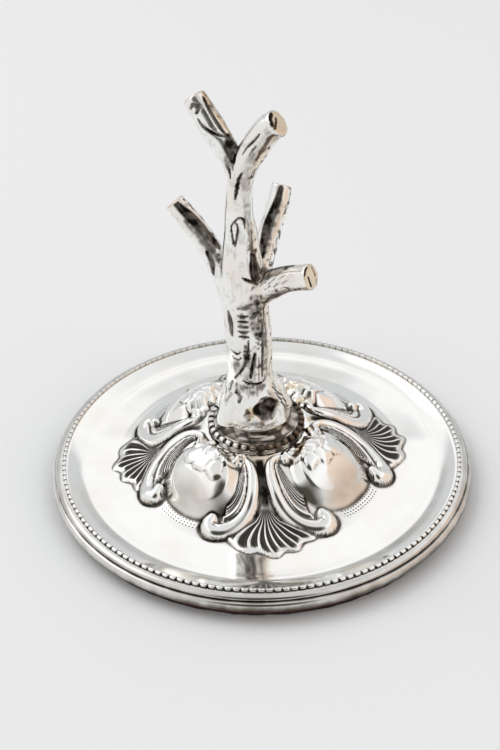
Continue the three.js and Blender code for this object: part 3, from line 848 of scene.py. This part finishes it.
ROOT_ROWS = [(0.75, 0.12, 0.3), (1.15, 0.04, 0.45), (1.38, -0.023, 0.52)]
# Each root: the direction that it leaves in, and its reach as a share of the full one.
ROOTS = [(12, 1.0), (78, 1.0), (150, 1.0), (208, 1.05), (262, 0.8), (318, 0.92)]


# %% The limbs in millimetres
def limb_rows(shares):
    """Rows of x, y, z and radius in millimetres from rows of shares."""
    shares = np.asarray(shares, float)
    scale = np.array([TREE_REACH, TREE_REACH, TREE_HEIGHT, TRUNK_RADIUS])
    return shares * scale + np.array([-LEAN, 0, TREE_FOOT, 0])


def root_rows(degrees, reach):
    """Rows of one root, which leaves the foot of the trunk in the given direction."""
    out, up, thick = np.array(ROOT_ROWS).T
    out = out * reach
    middle = limb_rows(TRUNK)[0]
    x = middle[0] + np.cos(np.radians(degrees)) * out * TRUNK_RADIUS
    y = middle[1] + np.sin(np.radians(degrees)) * out * TRUNK_RADIUS
    return np.stack([x, y, TREE_FOOT + up * TREE_HEIGHT, thick * TRUNK_RADIUS], axis=1)


LIMB_STEPS = 60
limbs = [smooth_line(limb_rows(rows), LIMB_STEPS) for rows in (TRUNK, UPPER_LEFT, LOWER_LEFT, REAR, FRONT)]
roots = [smooth_line(root_rows(*root), LIMB_STEPS // 3) for root in ROOTS]
print("limbs:", len(limbs), "roots:", len(roots))

# %% A bar swept along a line
BAR_SIDES = 28


def bar(rows):
    """Circles of the local radius, square to the line; the ends are closed by a point in their middle."""
    line, radius = rows[:, :3], rows[:, 3]
    along = unit_rows(np.gradient(line, axis=0))
    steady = np.eye(3)[np.abs(along).max(axis=0).argmin()]
    across = unit_rows(np.cross(along, steady))
    beside = np.cross(along, across)
    sides = np.arange(BAR_SIDES)
    angle = sides / BAR_SIDES * 2 * np.pi
    circle = across[:, None] * np.cos(angle)[:, None] + beside[:, None] * np.sin(angle)[:, None]
    points = (line[:, None] + circle * radius[:, None, None]).reshape(-1, 3)
    quads = grid_faces(len(rows), BAR_SIDES)
    after = (sides + 1) % BAR_SIDES
    last = (len(rows) - 1) * BAR_SIDES
    middle = np.full(BAR_SIDES, len(points))
    caps = np.hstack([[after, sides, middle], [last + sides, last + after, middle + 1]]).T
    triangles = np.vstack([quads[:, [0, 1, 2]], quads[:, [0, 2, 3]], caps])
    return np.vstack([points, line[0], line[-1]]), triangles


def melted(name, bars, voxel):
    """Joins closed bars into one mesh and remeshes it with voxels of the given size in millimetres."""
    starts = np.cumsum([0] + [len(points) for points, _ in bars[:-1]])
    points = np.vstack([points for points, _ in bars])
    faces = np.vstack([triangles + start for (_, triangles), start in zip(bars, starts)])
    rough = make_piece(name + "_bars", points, faces)
    remesh = rough.modifiers.new("melt", "REMESH")
    remesh.mode = "VOXEL"
    remesh.voxel_size = voxel * MM
    evaluated = rough.evaluated_get(bpy.context.evaluated_depsgraph_get())
    mesh = bpy.data.meshes.new_from_object(evaluated)
    bpy.data.objects.remove(rough)
    return mesh


TREE_VOXEL = 0.26
tree_mesh = melted("tree", [bar(rows) for rows in limbs + roots], TREE_VOXEL)
print("melted tree, faces:", len(tree_mesh.polygons))

# %% Cut the foot of the tree level
cutter = bmesh.new()
cutter.from_mesh(tree_mesh)
bmesh.ops.bisect_plane(
    cutter, geom=cutter.verts[:] + cutter.edges[:] + cutter.faces[:], dist=1e-7,
    plane_co=(0, 0, TREE_FOOT * MM), plane_no=(0, 0, 1), clear_inner=True)
bmesh.ops.holes_fill(cutter, edges=[edge for edge in cutter.edges if edge.is_boundary], sides=0)
bmesh.ops.triangulate(cutter, faces=[face for face in cutter.faces if len(face.verts) > 4])
cutter.to_mesh(tree_mesh)
cutter.free()
print("after the cut, faces:", len(tree_mesh.polygons))

# %% [markdown]
# ### Bark
#
# The silversmith finished the bark by hand: long strokes and ticks were cut in and the forks were left
# rough. The branches are darker along the side that faces forwards and up, and painted shade lies at forks,
# under branches and on the sides turned from the light. Each point of the skin gets a place on every limb:
# how far along it lies, and how far round from the side that faces forwards and up. On that unrolled limb a
# stroke is a line through a few places, with its own width and depth.

# %% Where each point lies on a limb
FRONT_SIDE = np.array([-0.08, -0.77, 0.63])


def limb_places(rows, points):
    """Where each point lies on a limb, in millimetres. run: how far along it. round: how far round from its
    front side, as an arc, positive to the right. gap: how far outside its surface. way: the limb's direction
    there. left: how far before its end. forward, aside: how far from its middle, to the front and the
    right."""
    line, radius = rows[:, :3], rows[:, 3]
    along = unit_rows(np.gradient(line, axis=0))
    run = np.r_[0, np.cumsum(np.linalg.norm(np.diff(line, axis=0), axis=1))]
    gap = np.full(len(points), np.inf)
    nearest = np.zeros(len(points), int)
    for number in range(len(rows)):
        row_gap = np.linalg.norm(points - line[number], axis=1) - radius[number]
        closer = row_gap < gap
        gap[closer] = row_gap[closer]
        nearest[closer] = number
    way = along[nearest]
    offset = points - line[nearest]
    point_run = run[nearest] + row_dots(offset, way)
    front = unit_rows(FRONT_SIDE - way * (way @ FRONT_SIDE)[:, None])
    forward = row_dots(offset, front)
    aside = row_dots(offset, np.cross(way, front))
    return {
        "run": point_run, "round": np.arctan2(aside, forward) * radius[nearest], "gap": gap, "way": way,
        "left": run[-1] - point_run, "forward": forward, "aside": aside,
    }


tree_points = points_of(tree_mesh)
level_foot = tree_points[:, 2] < TREE_FOOT + 0.05
softened = neighbour_average(tree_mesh, tree_points, 4)
tree_points[~level_foot] = softened[~level_foot]
places_on_limbs = [limb_places(rows, tree_points) for rows in limbs]
nearest_limb = np.argmin([places["gap"] for places in places_on_limbs], axis=0)
point_number = np.arange(len(tree_points))
nearest_places = {
    name: np.stack([places[name] for places in places_on_limbs])[nearest_limb, point_number]
    for name in places_on_limbs[0]}
print("points of the tree:", len(tree_points))

# %% The strokes, ticks and dark strips
# Each stroke: the limb (0 trunk, 1 upper left, 2 lower left, 3 rear, 4 front), half width, depth, how dark it
# is, and its places as millimetres along the limb and round it.
BARK_STROKES = [
    (0, 0.7, 0.35, 1.0, [(30.8, -4.3), (28.7, -3.8), (25.6, -3.7)]),
    (0, 0.45, 0.1, 0.6, [(32.2, -1.8), (32.4, 0.9)]),
    (0, 0.35, 0.3, 0.8, [(24.6, -0.1), (21.4, -0.3), (18.1, -1.3), (14.9, -3.4)]),
    (0, 0.5, 0.4, 0.9, [(21.5, 1.1), (19, 0.7), (15.7, 0.1)]),
    (0, 0.3, 0.3, 0.8, [(28.5, 3.1), (22, 2.9), (14.8, 2.7)]),
    (0, 0.3, 0.4, 1.0, [(14.9, -1.4), (14.3, -0.3), (13.9, 1.8), (14.3, 3.5)]),
    (0, 0.22, 0.2, 0.9, [(22, -4), (21.5, -3.4), (21.3, -2.8), (21.5, -2.2), (22, -1.7)]),
    (0, 0.22, 0.2, 0.9, [(20.5, -3.9), (20, -3.4), (19.8, -2.8), (20, -2.2), (20.5, -1.8)]),
    (0, 1.0, 0.35, 1.0, [(43.4, 2.4), (40.4, 2.3), (38, 2.2)]),
    (0, 0.35, 0.3, 1.0, [(39.2, -0.2), (38.3, 1.2), (37.2, 2.6)]),
    (0, 0.5, 0.06, 0.5, [(52, 1.2), (47.8, 1.9), (43, 2.3)]),
    (0, 0.26, 0.3, 1.0, [
        (50.9, -1.2), (50, -1.8), (48.3, -1.8), (46.1, -1.3), (48.3, -0.7), (50.2, -0.6), (50.9, -1.2)]),
    (0, 0.28, 0.25, 0.95, [(51, -1), (51.7, -0.2), (51.2, 0.8), (49.4, 0.9)]),
    (0, 0.4, 0.35, 1.0, [(60.5, 0.3), (58.7, -0.1), (55.8, -0.6)]),
    (0, 0.35, 0.25, 0.9, [(60.2, -3.3), (59.2, -2)]),
    (0, 0.3, 0.25, 0.8, [(64.9, -0.9), (66.6, -0.4), (68.6, -0.1)]),
    (0, 0.22, 0.2, 0.7, [(63.8, -0.9), (65.6, -0.8)]),
    (0, 0.22, 0.2, 0.7, [(64.3, 0.3), (66.3, 0.5)]),
    (0, 0.5, 0.1, 0.6, [(64, 1.9), (66.7, 2), (69.5, 2.1), (71.5, 2.3)]),
    (0, 0.3, 0.3, 0.9, [(12.4, 5.8), (10, 6.9), (5.6, 8.9)]),
    (0, 0.3, 0.3, 0.9, [(12.2, 7), (9.5, 8.4), (4.7, 11)]),
    (0, 0.45, 0.2, 0.4, [(13.9, -4), (12.3, -5.4), (9.9, -6.9)]),
    (1, 0.5, 0.3, 1.0, [(18.8, -1.9), (19, -1.1), (18.1, -0.5), (17.4, -1.5)]),
    (1, 0.36, 0.3, 1.0, [(16.4, -2), (14.5, -1.7), (11.8, -0.1), (10.3, 1.5)]),
    (1, 0.42, 0.3, 0.95, [(19.2, 1.5), (17.6, 1.2), (14.9, 0.9), (11.6, 1.3), (10.1, 1.6)]),
    (1, 1.5, 0.15, 0.95, [(10.3, 1.8), (8.4, 0.8), (6.8, 0.1)]),
    (2, 1.1, 0.12, 0.95, [(26.1, -0.2), (22.4, 0.3), (18.3, 0.8), (14.4, 1.8)]),
    (2, 0.7, 0.3, 0.9, [(14.8, -1.1), (12.7, -1.4), (10.4, -2.9)]),
    (3, 0.85, 0.12, 0.95, [(21.9, 0), (19.2, -0.1), (14.9, -0.8), (10.8, -0.6), (7.6, 0)]),
    (4, 0.9, 0.12, 0.95, [(7, -2.6), (8.3, -3.3), (10.4, -3.4), (14, -2.8)]),
    (4, 0.8, 0.1, 0.6, [(7, 3.6), (9.9, 3.5), (14.8, 4.2)]),
]
for tick in range(5):
    run = 30.5 - 1.22 * tick
    BARK_STROKES.append((0, 0.3, 0.3, 1.0, [(run, -2), (run - 0.1, 0)]))
for tick in range(3):
    run = 22.2 - 0.85 * tick
    BARK_STROKES.append((0, 0.2, 0.2, 0.9, [(run, -1.1), (run - 0.1, 0.1)]))
for chevron in range(4):
    run = 27.6 - 1.15 * chevron
    BARK_STROKES.append((0, 0.2, 0.15, 0.7, [(run, 1.5), (run - 0.9, 2.4), (run - 0.5, 3.3)]))
for hatch in range(9):
    run = 6.6 + 0.7 * hatch
    BARK_STROKES.append((4, 0.13, 0.12, 0.6, [(run, hatch % 3 - 0.8), (run + 1.7, hatch % 3 - 1.4)]))
for fray in range(9):
    ends = [(13.7, 0.7 * fray - 2.8), (10.9 + fray % 3, 0.8 * fray - 3.4)]
    BARK_STROKES.append((0, 0.15, 0.12, 0.55, ends))

print("strokes:", len(BARK_STROKES))

# %% Grime and painted shade, marks on the cut ends, and straw colour with a painted reflection
# Dark patches in the same terms, partly grime and partly painted shade at forks, under branches and on the
# limbs' right sides: the limb, half width, how dark they are, and their places.
BARK_GRIME_AND_SHADE = [
    (0, 1.7, 0.95, [(34.5, 1.6), (30.5, 1.7), (25.5, 2.2)]),
    (0, 0.8, 0.6, [(32.4, -1.8), (32.8, 1)]),
    (0, 0.9, 0.45, [(31, -1.1), (25.4, -0.9)]),
    (0, 1.3, 0.55, [(19.5, -3), (16.5, -2.4)]),
    (0, 0.7, 0.9, [(23.5, -0.6), (18.8, -0.5)]),
    (0, 0.9, 0.5, [(30, 3.9), (22, 3.5), (15, 3.6)]),
    (0, 1.4, 0.5, [(13.2, -2.4), (12.6, 0.8), (12.9, 3)]),
    (0, 0.8, 0.9, [(13.6, -3), (12, -3.2), (10.2, -3.6)]),
    (0, 0.9, 0.7, [(8.4, -1.6), (6.6, -1.2)]),
    (0, 0.9, 0.6, [(12.2, -8.2), (10.4, -8.8)]),
    (0, 0.5, 0.7, [(5.9, 1.2), (5, 2.2)]),
    (0, 0.7, 0.5, [(11, 4.6), (8.2, 6.6)]),
    (0, 1.2, 0.38, [(71, 1.6), (66, 1.4), (62, 1.2), (56, 1.6), (46, 2.2)]),
    (1, 1.6, 0.6, [(7.5, -0.6), (5.8, -0.8)]),
    (2, 1.7, 0.6, [(22, -0.6), (16, 0.2), (12, 0.6)]),
    (3, 1.5, 0.6, [(19, 0.3), (14, -0.2), (9, 0.4)]),
    (4, 1.3, 0.75, [(6, -0.6), (9.5, -1.9), (13, -2.2)]),
    (1, 1.2, 0.35, [(21, 2.7), (16, 2.8), (11, 3.2)]),
]

# Marks on the cut ends: the limb, half width, how dark they are, and places towards the front and aside.
END_MARKS = [
    (0, 0.35, 0.95, [(1.1, -1.75), (2.15, -0.8), (2.3, 0.4)]),
    (0, 0.25, 0.85, [(0.35, -0.75), (1.2, 0.3), (2, 1.1)]),
    (0, 0.2, 0.5, [(1.9, -0.5), (2.1, 0.9)]),
    (1, 0.3, 0.7, [(-0.6, -1.2), (0.6, -0.6), (0.8, 0.6)]),
    (4, 0.4, 0.95, [(1.9, -1.75), (2.3, -1.1), (2.5, -0.3)]),
    (4, 0.24, 0.9, [(1.15, 0.25), (0.6, 1), (0.05, 1.75)]),
    (4, 0.2, 0.5, [(0, -2), (-0.6, -1.3), (-1.25, -0.4)]),
    (4, 0.3, 0.3, [(-1.6, 0.3), (-1.9, 1)]),
]

# Straw-coloured places, partly stain and partly a painted warm reflection along the limbs' right sides: the
# limb, half width, how strong they are, and their places along and round it.
BARK_STRAW_AND_REFLECTION = [
    (0, 2.2, 0.45, [(50, 4), (38, 4.5), (24, 5), (12, 6)]),
    (0, 1.2, 0.7, [(71, 2.6), (66, 2.6), (62, 2.4)]),
    (0, 0.8, 0.7, [(50, 2.6), (44, 2.8), (38, 2.8)]),
    (1, 1.5, 1.0, [(22, 2.6), (16, 2.6), (11, 3.1)]),
    (3, 0.8, 0.4, [(22, 1.6), (12, 1.6)]),
    (0, 1.2, 1.0, [(8.6, -0.8), (7, -0.6)]),
    (0, 0.8, 0.7, [(11.5, 4.9), (8.2, 6)]),
]
print("darkened places:", len(BARK_GRIME_AND_SHADE), "end marks:", len(END_MARKS), "straw places:", len(BARK_STRAW_AND_REFLECTION))

# %% Lay the strokes, the grime and painted shade, and the straw colour with its painted reflection on the limbs
# How far from a limb's own surface a point of the skin may lie and still take that limb's strokes.
SKIN_GAP = 0.9


def line_share(limb, half_width, line):
    """Which points lie near a line on a limb, and their distance beside it as a share of its half width,
    which tapers at both ends."""
    run, arc_round, gap = (places_on_limbs[limb][name] for name in ("run", "round", "gap"))
    fine_line = smooth_line(line, 24)
    reach = half_width + 1
    near = (gap < SKIN_GAP) & (run > fine_line[:, 0].min() - reach) & (run < fine_line[:, 0].max() + reach)
    offset, share = beside_line(fine_line, run[near], arc_round[near])
    return near, np.abs(offset) / (half_width * (0.55 + 0.45 * np.sin(np.pi * share)))


def laid_on(strokes, outer, inner):
    """The strongest stroke at each point. A stroke has its full strength up to the inner share of its half
    width and fades to nothing at the outer share."""
    strongest = np.zeros(len(tree_points))
    for limb, half_width, strength, line in strokes:
        near, beside = line_share(limb, half_width, line)
        strongest[near] = np.maximum(strongest[near], strength * soft_step(outer, inner, beside))
    return strongest


depth_strokes = [(limb, half_width, depth, line) for limb, half_width, depth, _, line in BARK_STROKES]
dark_strokes = [(limb, half_width, dark, line) for limb, half_width, _, dark, line in BARK_STROKES]
cut_depth = laid_on(depth_strokes, 1.1, 0.1)
cut_dark = laid_on(dark_strokes, 1.25, 0.75)
grime_and_shade = laid_on(BARK_GRIME_AND_SHADE, 1.3, 0.5)
straw_and_reflection = laid_on(BARK_STRAW_AND_REFLECTION, 1.3, 0.6)
print("points in a cut:", int((cut_depth > 0).sum()))

# %% Sizes of the furrows, chips and lumps, in millimetres
# A branch's cut end: how near its middle line's end it lies, and how squarely it faces along the branch.
END_NEAR = 0.9
END_SQUARE = 0.55
FURROW_LENGTH = 4.0
FURROW_WIDTH = 0.75
FURROW_DEPTH = 0.2
# The furrows of each limb are moved by this many of their lengths, so that no two limbs have the same ones.
LIMB_SHIFT = 7.3
CHIP_SIZE = 0.75
CHIP_DEPTH = 0.06
LUMP_SIZE = 3.2
LUMP_RISE = 0.3
# The hollow between the front roots: its place along the trunk and round it, its reach both ways, its depth,
# and how far outside the trunk's own surface it still acts.
HOLLOW_RUN = 8.0
HOLLOW_ROUND = 2.5
HOLLOW_HALF_RUN = 2.0
HOLLOW_HALF_ROUND = 3.3
HOLLOW_DEPTH = 1.0
HOLLOW_GAP = 3.5


def put_tree(points):
    """Moves the tree's points to new places in millimetres."""
    tree_mesh.vertices.foreach_set("co", (points * MM).astype(np.float32).ravel())
    tree_mesh.update()


# %% Carve the skin of the tree
put_tree(tree_points)
smooth_normals = read_rows(tree_mesh.vertex_normals, "vector")
squareness = row_dots(smooth_normals, nearest_places["way"])
cut_end = (nearest_places["left"] < END_NEAR) & (squareness > END_SQUARE)
high_up = soft_step(TREE_FOOT + 8, TREE_FOOT + 13, tree_points[:, 2])
arc_round = nearest_places["round"]
# Everywhere but the limbs' front-left side, which faces the camera and the window, the bark gets deeper
# furrows and chips and more dark film: rougher bark, with painted shade on the sides turned from the light.
unseen_side = np.maximum(soft_step(0.6, 2.4, arc_round), soft_step(-5.5, -7.5, arc_round))
wear_and_side_shade = (0.2 + 0.8 * unseen_side) * (0.3 + 0.7 * high_up)
furrow_run = nearest_places["run"] / FURROW_LENGTH + LIMB_SHIFT * nearest_limb
furrow_cells = over_plane(furrow_run, arc_round / FURROW_WIDTH)
folded = 1 - np.abs(2 * grain(furrow_cells, 21) - 1)
furrow = soft_step(0.8, 0.97, folded) * soft_step(0.4, 0.6, grain(tree_points / 2.5, 24)) * wear_and_side_shade
chips = soft_step(0.66, 0.82, grain(tree_points / CHIP_SIZE, 22)) * wear_and_side_shade
lump = (grain(tree_points / LUMP_SIZE, 23) - 0.5) * (0.9 + 0.1 * high_up)
trunk = places_on_limbs[0]
from_hollow = np.hypot(
    (trunk["run"] - HOLLOW_RUN) / HOLLOW_HALF_RUN, (trunk["round"] - HOLLOW_ROUND) / HOLLOW_HALF_ROUND)
hollow = soft_step(1.15, 0.75, from_hollow + 0.9 * (grain(tree_points / 1.7, 28) - 0.5))
hollow = hollow * (trunk["gap"] < HOLLOW_GAP)
press = np.maximum(cut_depth, FURROW_DEPTH * furrow) + CHIP_DEPTH * chips - LUMP_RISE * lump
press = press + HOLLOW_DEPTH * hollow
press[level_foot | cut_end] = 0
tree_points = tree_points - smooth_normals * press[:, None]
put_tree(tree_points)
tree_mesh.shade_smooth()
tree = new_object("cast_tree", tree_mesh)
print("cut ends hold points:", int(cut_end.sum()))

# %% The tarnish and painted shade of the tree
# Low places and forks: the rounds of averaging that find them, and the depths in millimetres at which their
# film starts and is full.
LOW_ROUNDS = 10
LOW_DEPTHS = (0.03, 0.18)
FORK_ROUNDS = 60
FORK_DEPTHS = (0.3, 1.0)

rough_parts = grain(tree_points / 0.7, 25)
fine_lines = soft_step(0.35, 0.75, 1 - np.abs(2 * grain(furrow_cells * (1, 1.6, 1), 29) - 1))
low_places = soft_step(*LOW_DEPTHS, hollowness(tree_mesh, LOW_ROUNDS))
forks = 0.8 * soft_step(*FORK_DEPTHS, hollowness(tree_mesh, FORK_ROUNDS)) * high_up
speckle = 0.75 * soft_step(0.62, 0.78, rough_parts) * wear_and_side_shade
speckle = speckle * soft_step(0.4, 0.6, grain(tree_points / 2.0, 26))
tree_tarnish_and_shade = np.maximum.reduce([
    cut_dark * (0.74 + 0.3 * fine_lines), low_places, forks, speckle, 0.8 * furrow, 0.95 * hollow,
    grime_and_shade * soft_step(0.35, 0.6, rough_parts), 0.45 * grime_and_shade,
])
tree_tarnish_and_shade[cut_end] = 0.06 * grain(tree_points[cut_end] / 0.8, 31)
for limb, half_width, dark, line in END_MARKS:
    on_end = cut_end & (nearest_limb == limb)
    end_places = nearest_places["forward"][on_end], nearest_places["aside"][on_end]
    offset, _ = beside_line(smooth_line(line, 24), *end_places)
    mark = dark * soft_step(1.4, 0.7, np.abs(offset) / half_width)
    tree_tarnish_and_shade[on_end] = np.maximum(tree_tarnish_and_shade[on_end], mark)
tree_warmth = straw_and_reflection * (0.4 + 0.6 * soft_step(0.3, 0.6, grain(tree_points / 2.4, 27)))
tree_warmth[cut_end] = 0.9
keep_attribute(tree_mesh, "tarnish_and_shade", np.clip(tree_tarnish_and_shade, 0, 1))
keep_attribute(tree_mesh, "warmth", tree_warmth)
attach(tree, "root")
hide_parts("tree")
print("mean tarnish of the tree:", round(float(tree_tarnish_and_shade.mean()), 3))

# %% [markdown]
# ## Silver
#
# Silver is the whitest metal, so it gives back nearly all of the light that falls on it, a little warm. It
# tarnishes to a brown-black film of sulphide. Polishing takes that film off the high places, and it stays in
# the hollows, where the stored tarnish value finds it. That value also carries painted shade: on the rim's
# roll and shoulder, under the bead wire, on the front bosses and on the limbs. A film of sulphide is duller
# than the metal, so the dark places are rougher too.

# %% Colours and sizes of the silver finishes
SILVER = linear("#fbfbf9")
WARM_FILM = linear("#ecdcc8")
STRAW = linear("#eddcc2")
THIN_FILM = linear("#a09a92")
BROWN_FILM = linear("#6f5844")
SULPHIDE = linear("#1c1916")
# How dark the chased lines are, how deep they are beside the fine unevenness, and the sizes in millimetres of
# that unevenness and of the warm film's patches.
CUT_DARK = 0.92
CUT_SHARE = 4.0
SCRATCH_MM = 0.6
WARM_MM = 9
FILM_VALUES = ("tarnish_and_shade", "warmth")
LINE_VALUES = ("line_place", "line_depth", "punch_row", "punch_step", "punch_depth")


# %% The chased lines as nodes
def wave(tree, phase):
    """A wave that is 0 at whole numbers of the phase and 1 half-way between them."""
    angle = add_node(tree, "ShaderNodeMath", {"operation": "MULTIPLY", 0: phase, 1: 2 * np.pi})
    cosine = add_node(tree, "ShaderNodeMath", {"operation": "COSINE", 0: angle})
    return add_node(tree, "ShaderNodeMath", {"operation": "MULTIPLY_ADD", 0: cosine, 1: -0.5, 2: 0.5})


def chased_lines(tree, stored):
    """How deep the chasing tool cut at each point of the foot, from 0 to 1: the gaps between flutes or
    blades, and the marks of the punched rows."""
    crest = wave(tree, stored["line_place"])
    gap = add_node(tree, "ShaderNodeMapRange", {"From Min": 0.96, "From Max": 0.7, "Value": crest})
    lines = add_node(tree, "ShaderNodeMath", {"operation": "MULTIPLY", 0: gap, 1: stored["line_depth"]})
    row = wave(tree, stored["punch_row"])
    step = wave(tree, stored["punch_step"])
    dots = add_node(tree, "ShaderNodeMath", {"operation": "MULTIPLY", 0: row, 1: step})
    dot = add_node(tree, "ShaderNodeMapRange", {"From Min": 0.3, "From Max": 0.6, "Value": dots})
    marks = add_node(tree, "ShaderNodeMath", {"operation": "MULTIPLY", 0: dot, 1: stored["punch_depth"]})
    return add_node(tree, "ShaderNodeMath", {"operation": "MAXIMUM", 0: lines, 1: marks})


# %% Silver with its tarnish
def silver(name, roughness, dark_roughness, blotch_mm, tint, scratch, chased=False):
    """Silver whose stored sulphide film and painted shade are broken up by noise, with a faint warm film and
    a fine unevenness.
    """
    material, tree = new_material(name)
    places = add_node(tree, "ShaderNodeTexCoord").outputs["Object"]
    stored = {
        value: add_node(tree, "ShaderNodeAttribute", {"attribute_name": value}).outputs["Fac"]
        for value in (FILM_VALUES + LINE_VALUES if chased else FILM_VALUES)}
    blotch, fine, warm_places = (
        add_node(tree, "ShaderNodeTexNoise", {"Scale": 1 / (size * MM), "Detail": detail, "Vector": places})
        for size, detail in ((blotch_mm, 4.0), (SCRATCH_MM, 3.0), (WARM_MM, 2.0)))
    broken = add_node(tree, "ShaderNodeMapRange", {
        "From Min": 0.3, "From Max": 0.7, "To Min": 0.65, "To Max": 1.25, "Value": blotch})
    kept = add_node(tree, "ShaderNodeMath", {
        "operation": "MULTIPLY", "use_clamp": True, 0: stored["tarnish_and_shade"], 1: broken})
    level = fine
    if chased:
        cuts = chased_lines(tree, stored)
        in_cuts = add_node(tree, "ShaderNodeMath", {"operation": "MULTIPLY", 0: cuts, 1: CUT_DARK})
        kept = add_node(tree, "ShaderNodeMath", {"operation": "MAXIMUM", 0: kept, 1: in_cuts})
        level = add_node(tree, "ShaderNodeMath", {
            "operation": "MULTIPLY_ADD", 0: cuts, 1: -CUT_SHARE, 2: fine})
    film = add_node(tree, "ShaderNodeMapRange", {
        "From Min": 0.45, "From Max": 0.75, "To Max": tint, "Value": warm_places})
    metal = blended(tree, SILVER, WARM_FILM, 0, 1, film)
    metal = blended(tree, metal, STRAW, 0, 1, stored["warmth"])
    thin = blended(tree, THIN_FILM, BROWN_FILM, 0, 1, stored["warmth"])
    colour = blended(tree, metal, thin, 0, 0.5, kept)
    colour = blended(tree, colour, SULPHIDE, 0.35, 1, kept)
    dull = add_node(tree, "ShaderNodeMapRange", {
        "To Min": roughness, "To Max": dark_roughness, "Value": kept})
    uneven = add_node(tree, "ShaderNodeBump", {"Strength": scratch, "Distance": 0.02 * MM, "Height": level})
    close_material(tree, {"Base Color": colour, "Roughness": dull, "Normal": uneven, "Metallic": 1.0})
    return material


# %% Give the silver pieces their finish
foot.data.materials.append(silver("polished_silver_sheet", 0.075, 0.4, 3.5, 0.25, 0.12, chased=True))
border.data.materials.append(silver("rolled_silver_bead_wire", 0.14, 0.5, 1.5, 0.3, 0.3))
collar_metal = silver("turned_silver_dulled", 0.2, 0.4, 2.0, 0.8, 0.3)
collar.data.materials.append(collar_metal)
collar_beads.data.materials.append(collar_metal)
tree_mesh.materials.append(silver("cast_silver_oxidised", 0.2, 0.5, 1.8, 0.5, 0.6))
print("silver finishes:", len(bpy.data.materials))

# %% [markdown]
# ## Board, pad, filling and brass
#
# Under the rim a red-brown board closes the foot, with dark baize glued under it. Of the board only a worn
# edge shows. The pitch filling, the stud, the washer and the nut are hidden inside, and keep their CAD
# shapes.

# %% The board and the pad
PAD_TOP = 0.6
BOARD_RADIUS = 43.4
PAD_RADIUS = 43.2
EDGE_COLUMNS = 240
PIN_HOLE = 0.001


def worn_disc(name, radius, bottom, top, rounding, wear, seed):
    """A turned disc with rounded edges whose rim is worn unevenly by noise."""
    profile = [
        (PIN_HOLE, bottom), (radius * 0.6, bottom), (radius - rounding, bottom), (radius, bottom + rounding),
        (radius, top - rounding), (radius - rounding, top), (radius * 0.6, top), (PIN_HOLE, top),
    ]
    points = turned_points(profile, EDGE_COLUMNS)
    outward = np.hypot(points[:, 0], points[:, 1])
    rim = soft_step(radius * 0.8, radius, outward) * wear * (grain(points / 1.7, seed) - 1)
    points[:, :2] *= (1 + rim / np.maximum(outward, 1))[:, None]
    return make_piece(name, points, grid_faces(len(profile), EDGE_COLUMNS, wrap_rows=True))


board = worn_disc("stained_board_worn", BOARD_RADIUS, PAD_TOP, BOARD_TOP, 0.25, 0.25, 31)
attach(board, "root")
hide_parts("backing_board")
pad = worn_disc("baize_pad", PAD_RADIUS, 0, PAD_TOP, 0.15, 0.35, 32)
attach(pad, "root")
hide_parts("base_pad")


# %% Plain two-tone finishes
ROUGHNESS_SWING = 0.08
RELIEF_MM = 0.1


def two_tone(name, dark, light, pattern_mm, stretch, roughness, metallic=0.0, relief=0.3):
    """A finish whose colour, roughness and fine relief follow one noise, stretched by a factor along X."""
    material, tree = new_material(name)
    places = add_node(tree, "ShaderNodeTexCoord").outputs["Object"]
    scaled = add_node(tree, "ShaderNodeMapping", {"Scale": (1 / stretch, 1, 1), "Vector": places})
    noise = add_node(tree, "ShaderNodeTexNoise", {
        "Scale": 1 / (pattern_mm * MM), "Detail": 5.0, "Vector": scaled})
    colour = blended(tree, linear(dark), linear(light), 0, 1, noise)
    dull = add_node(tree, "ShaderNodeMapRange", {
        "To Min": roughness - ROUGHNESS_SWING, "To Max": roughness + ROUGHNESS_SWING, "Value": noise})
    bump = add_node(tree, "ShaderNodeBump", {
        "Strength": relief, "Distance": RELIEF_MM * MM, "Height": noise})
    close_material(tree, {"Base Color": colour, "Roughness": dull, "Normal": bump, "Metallic": metallic})
    return material


def finish_node(node, material):
    """Gives a CAD node its finish without touching its mesh."""
    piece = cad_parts[node]
    piece.data.materials.clear()
    piece.data.materials.append(material)


board.data.materials.append(two_tone("stained_beech", "#2a1510", "#6b3524", 0.8, 8, 0.5))
pad.data.materials.append(two_tone("wool_baize", "#171112", "#33272a", 0.3, 1, 0.9, relief=0.8))
finish_node("filling", two_tone("poured_pitch", "#2b231c", "#4a3d31", 1.2, 1, 0.8))
brass = two_tone("turned_brass", "#9c7a3c", "#c6a35e", 0.7, 1, 0.35, metallic=1.0)
for fastening in ("stud", "washer", "nut"):
    finish_node(fastening, brass)
print("materials:", len(bpy.data.materials))
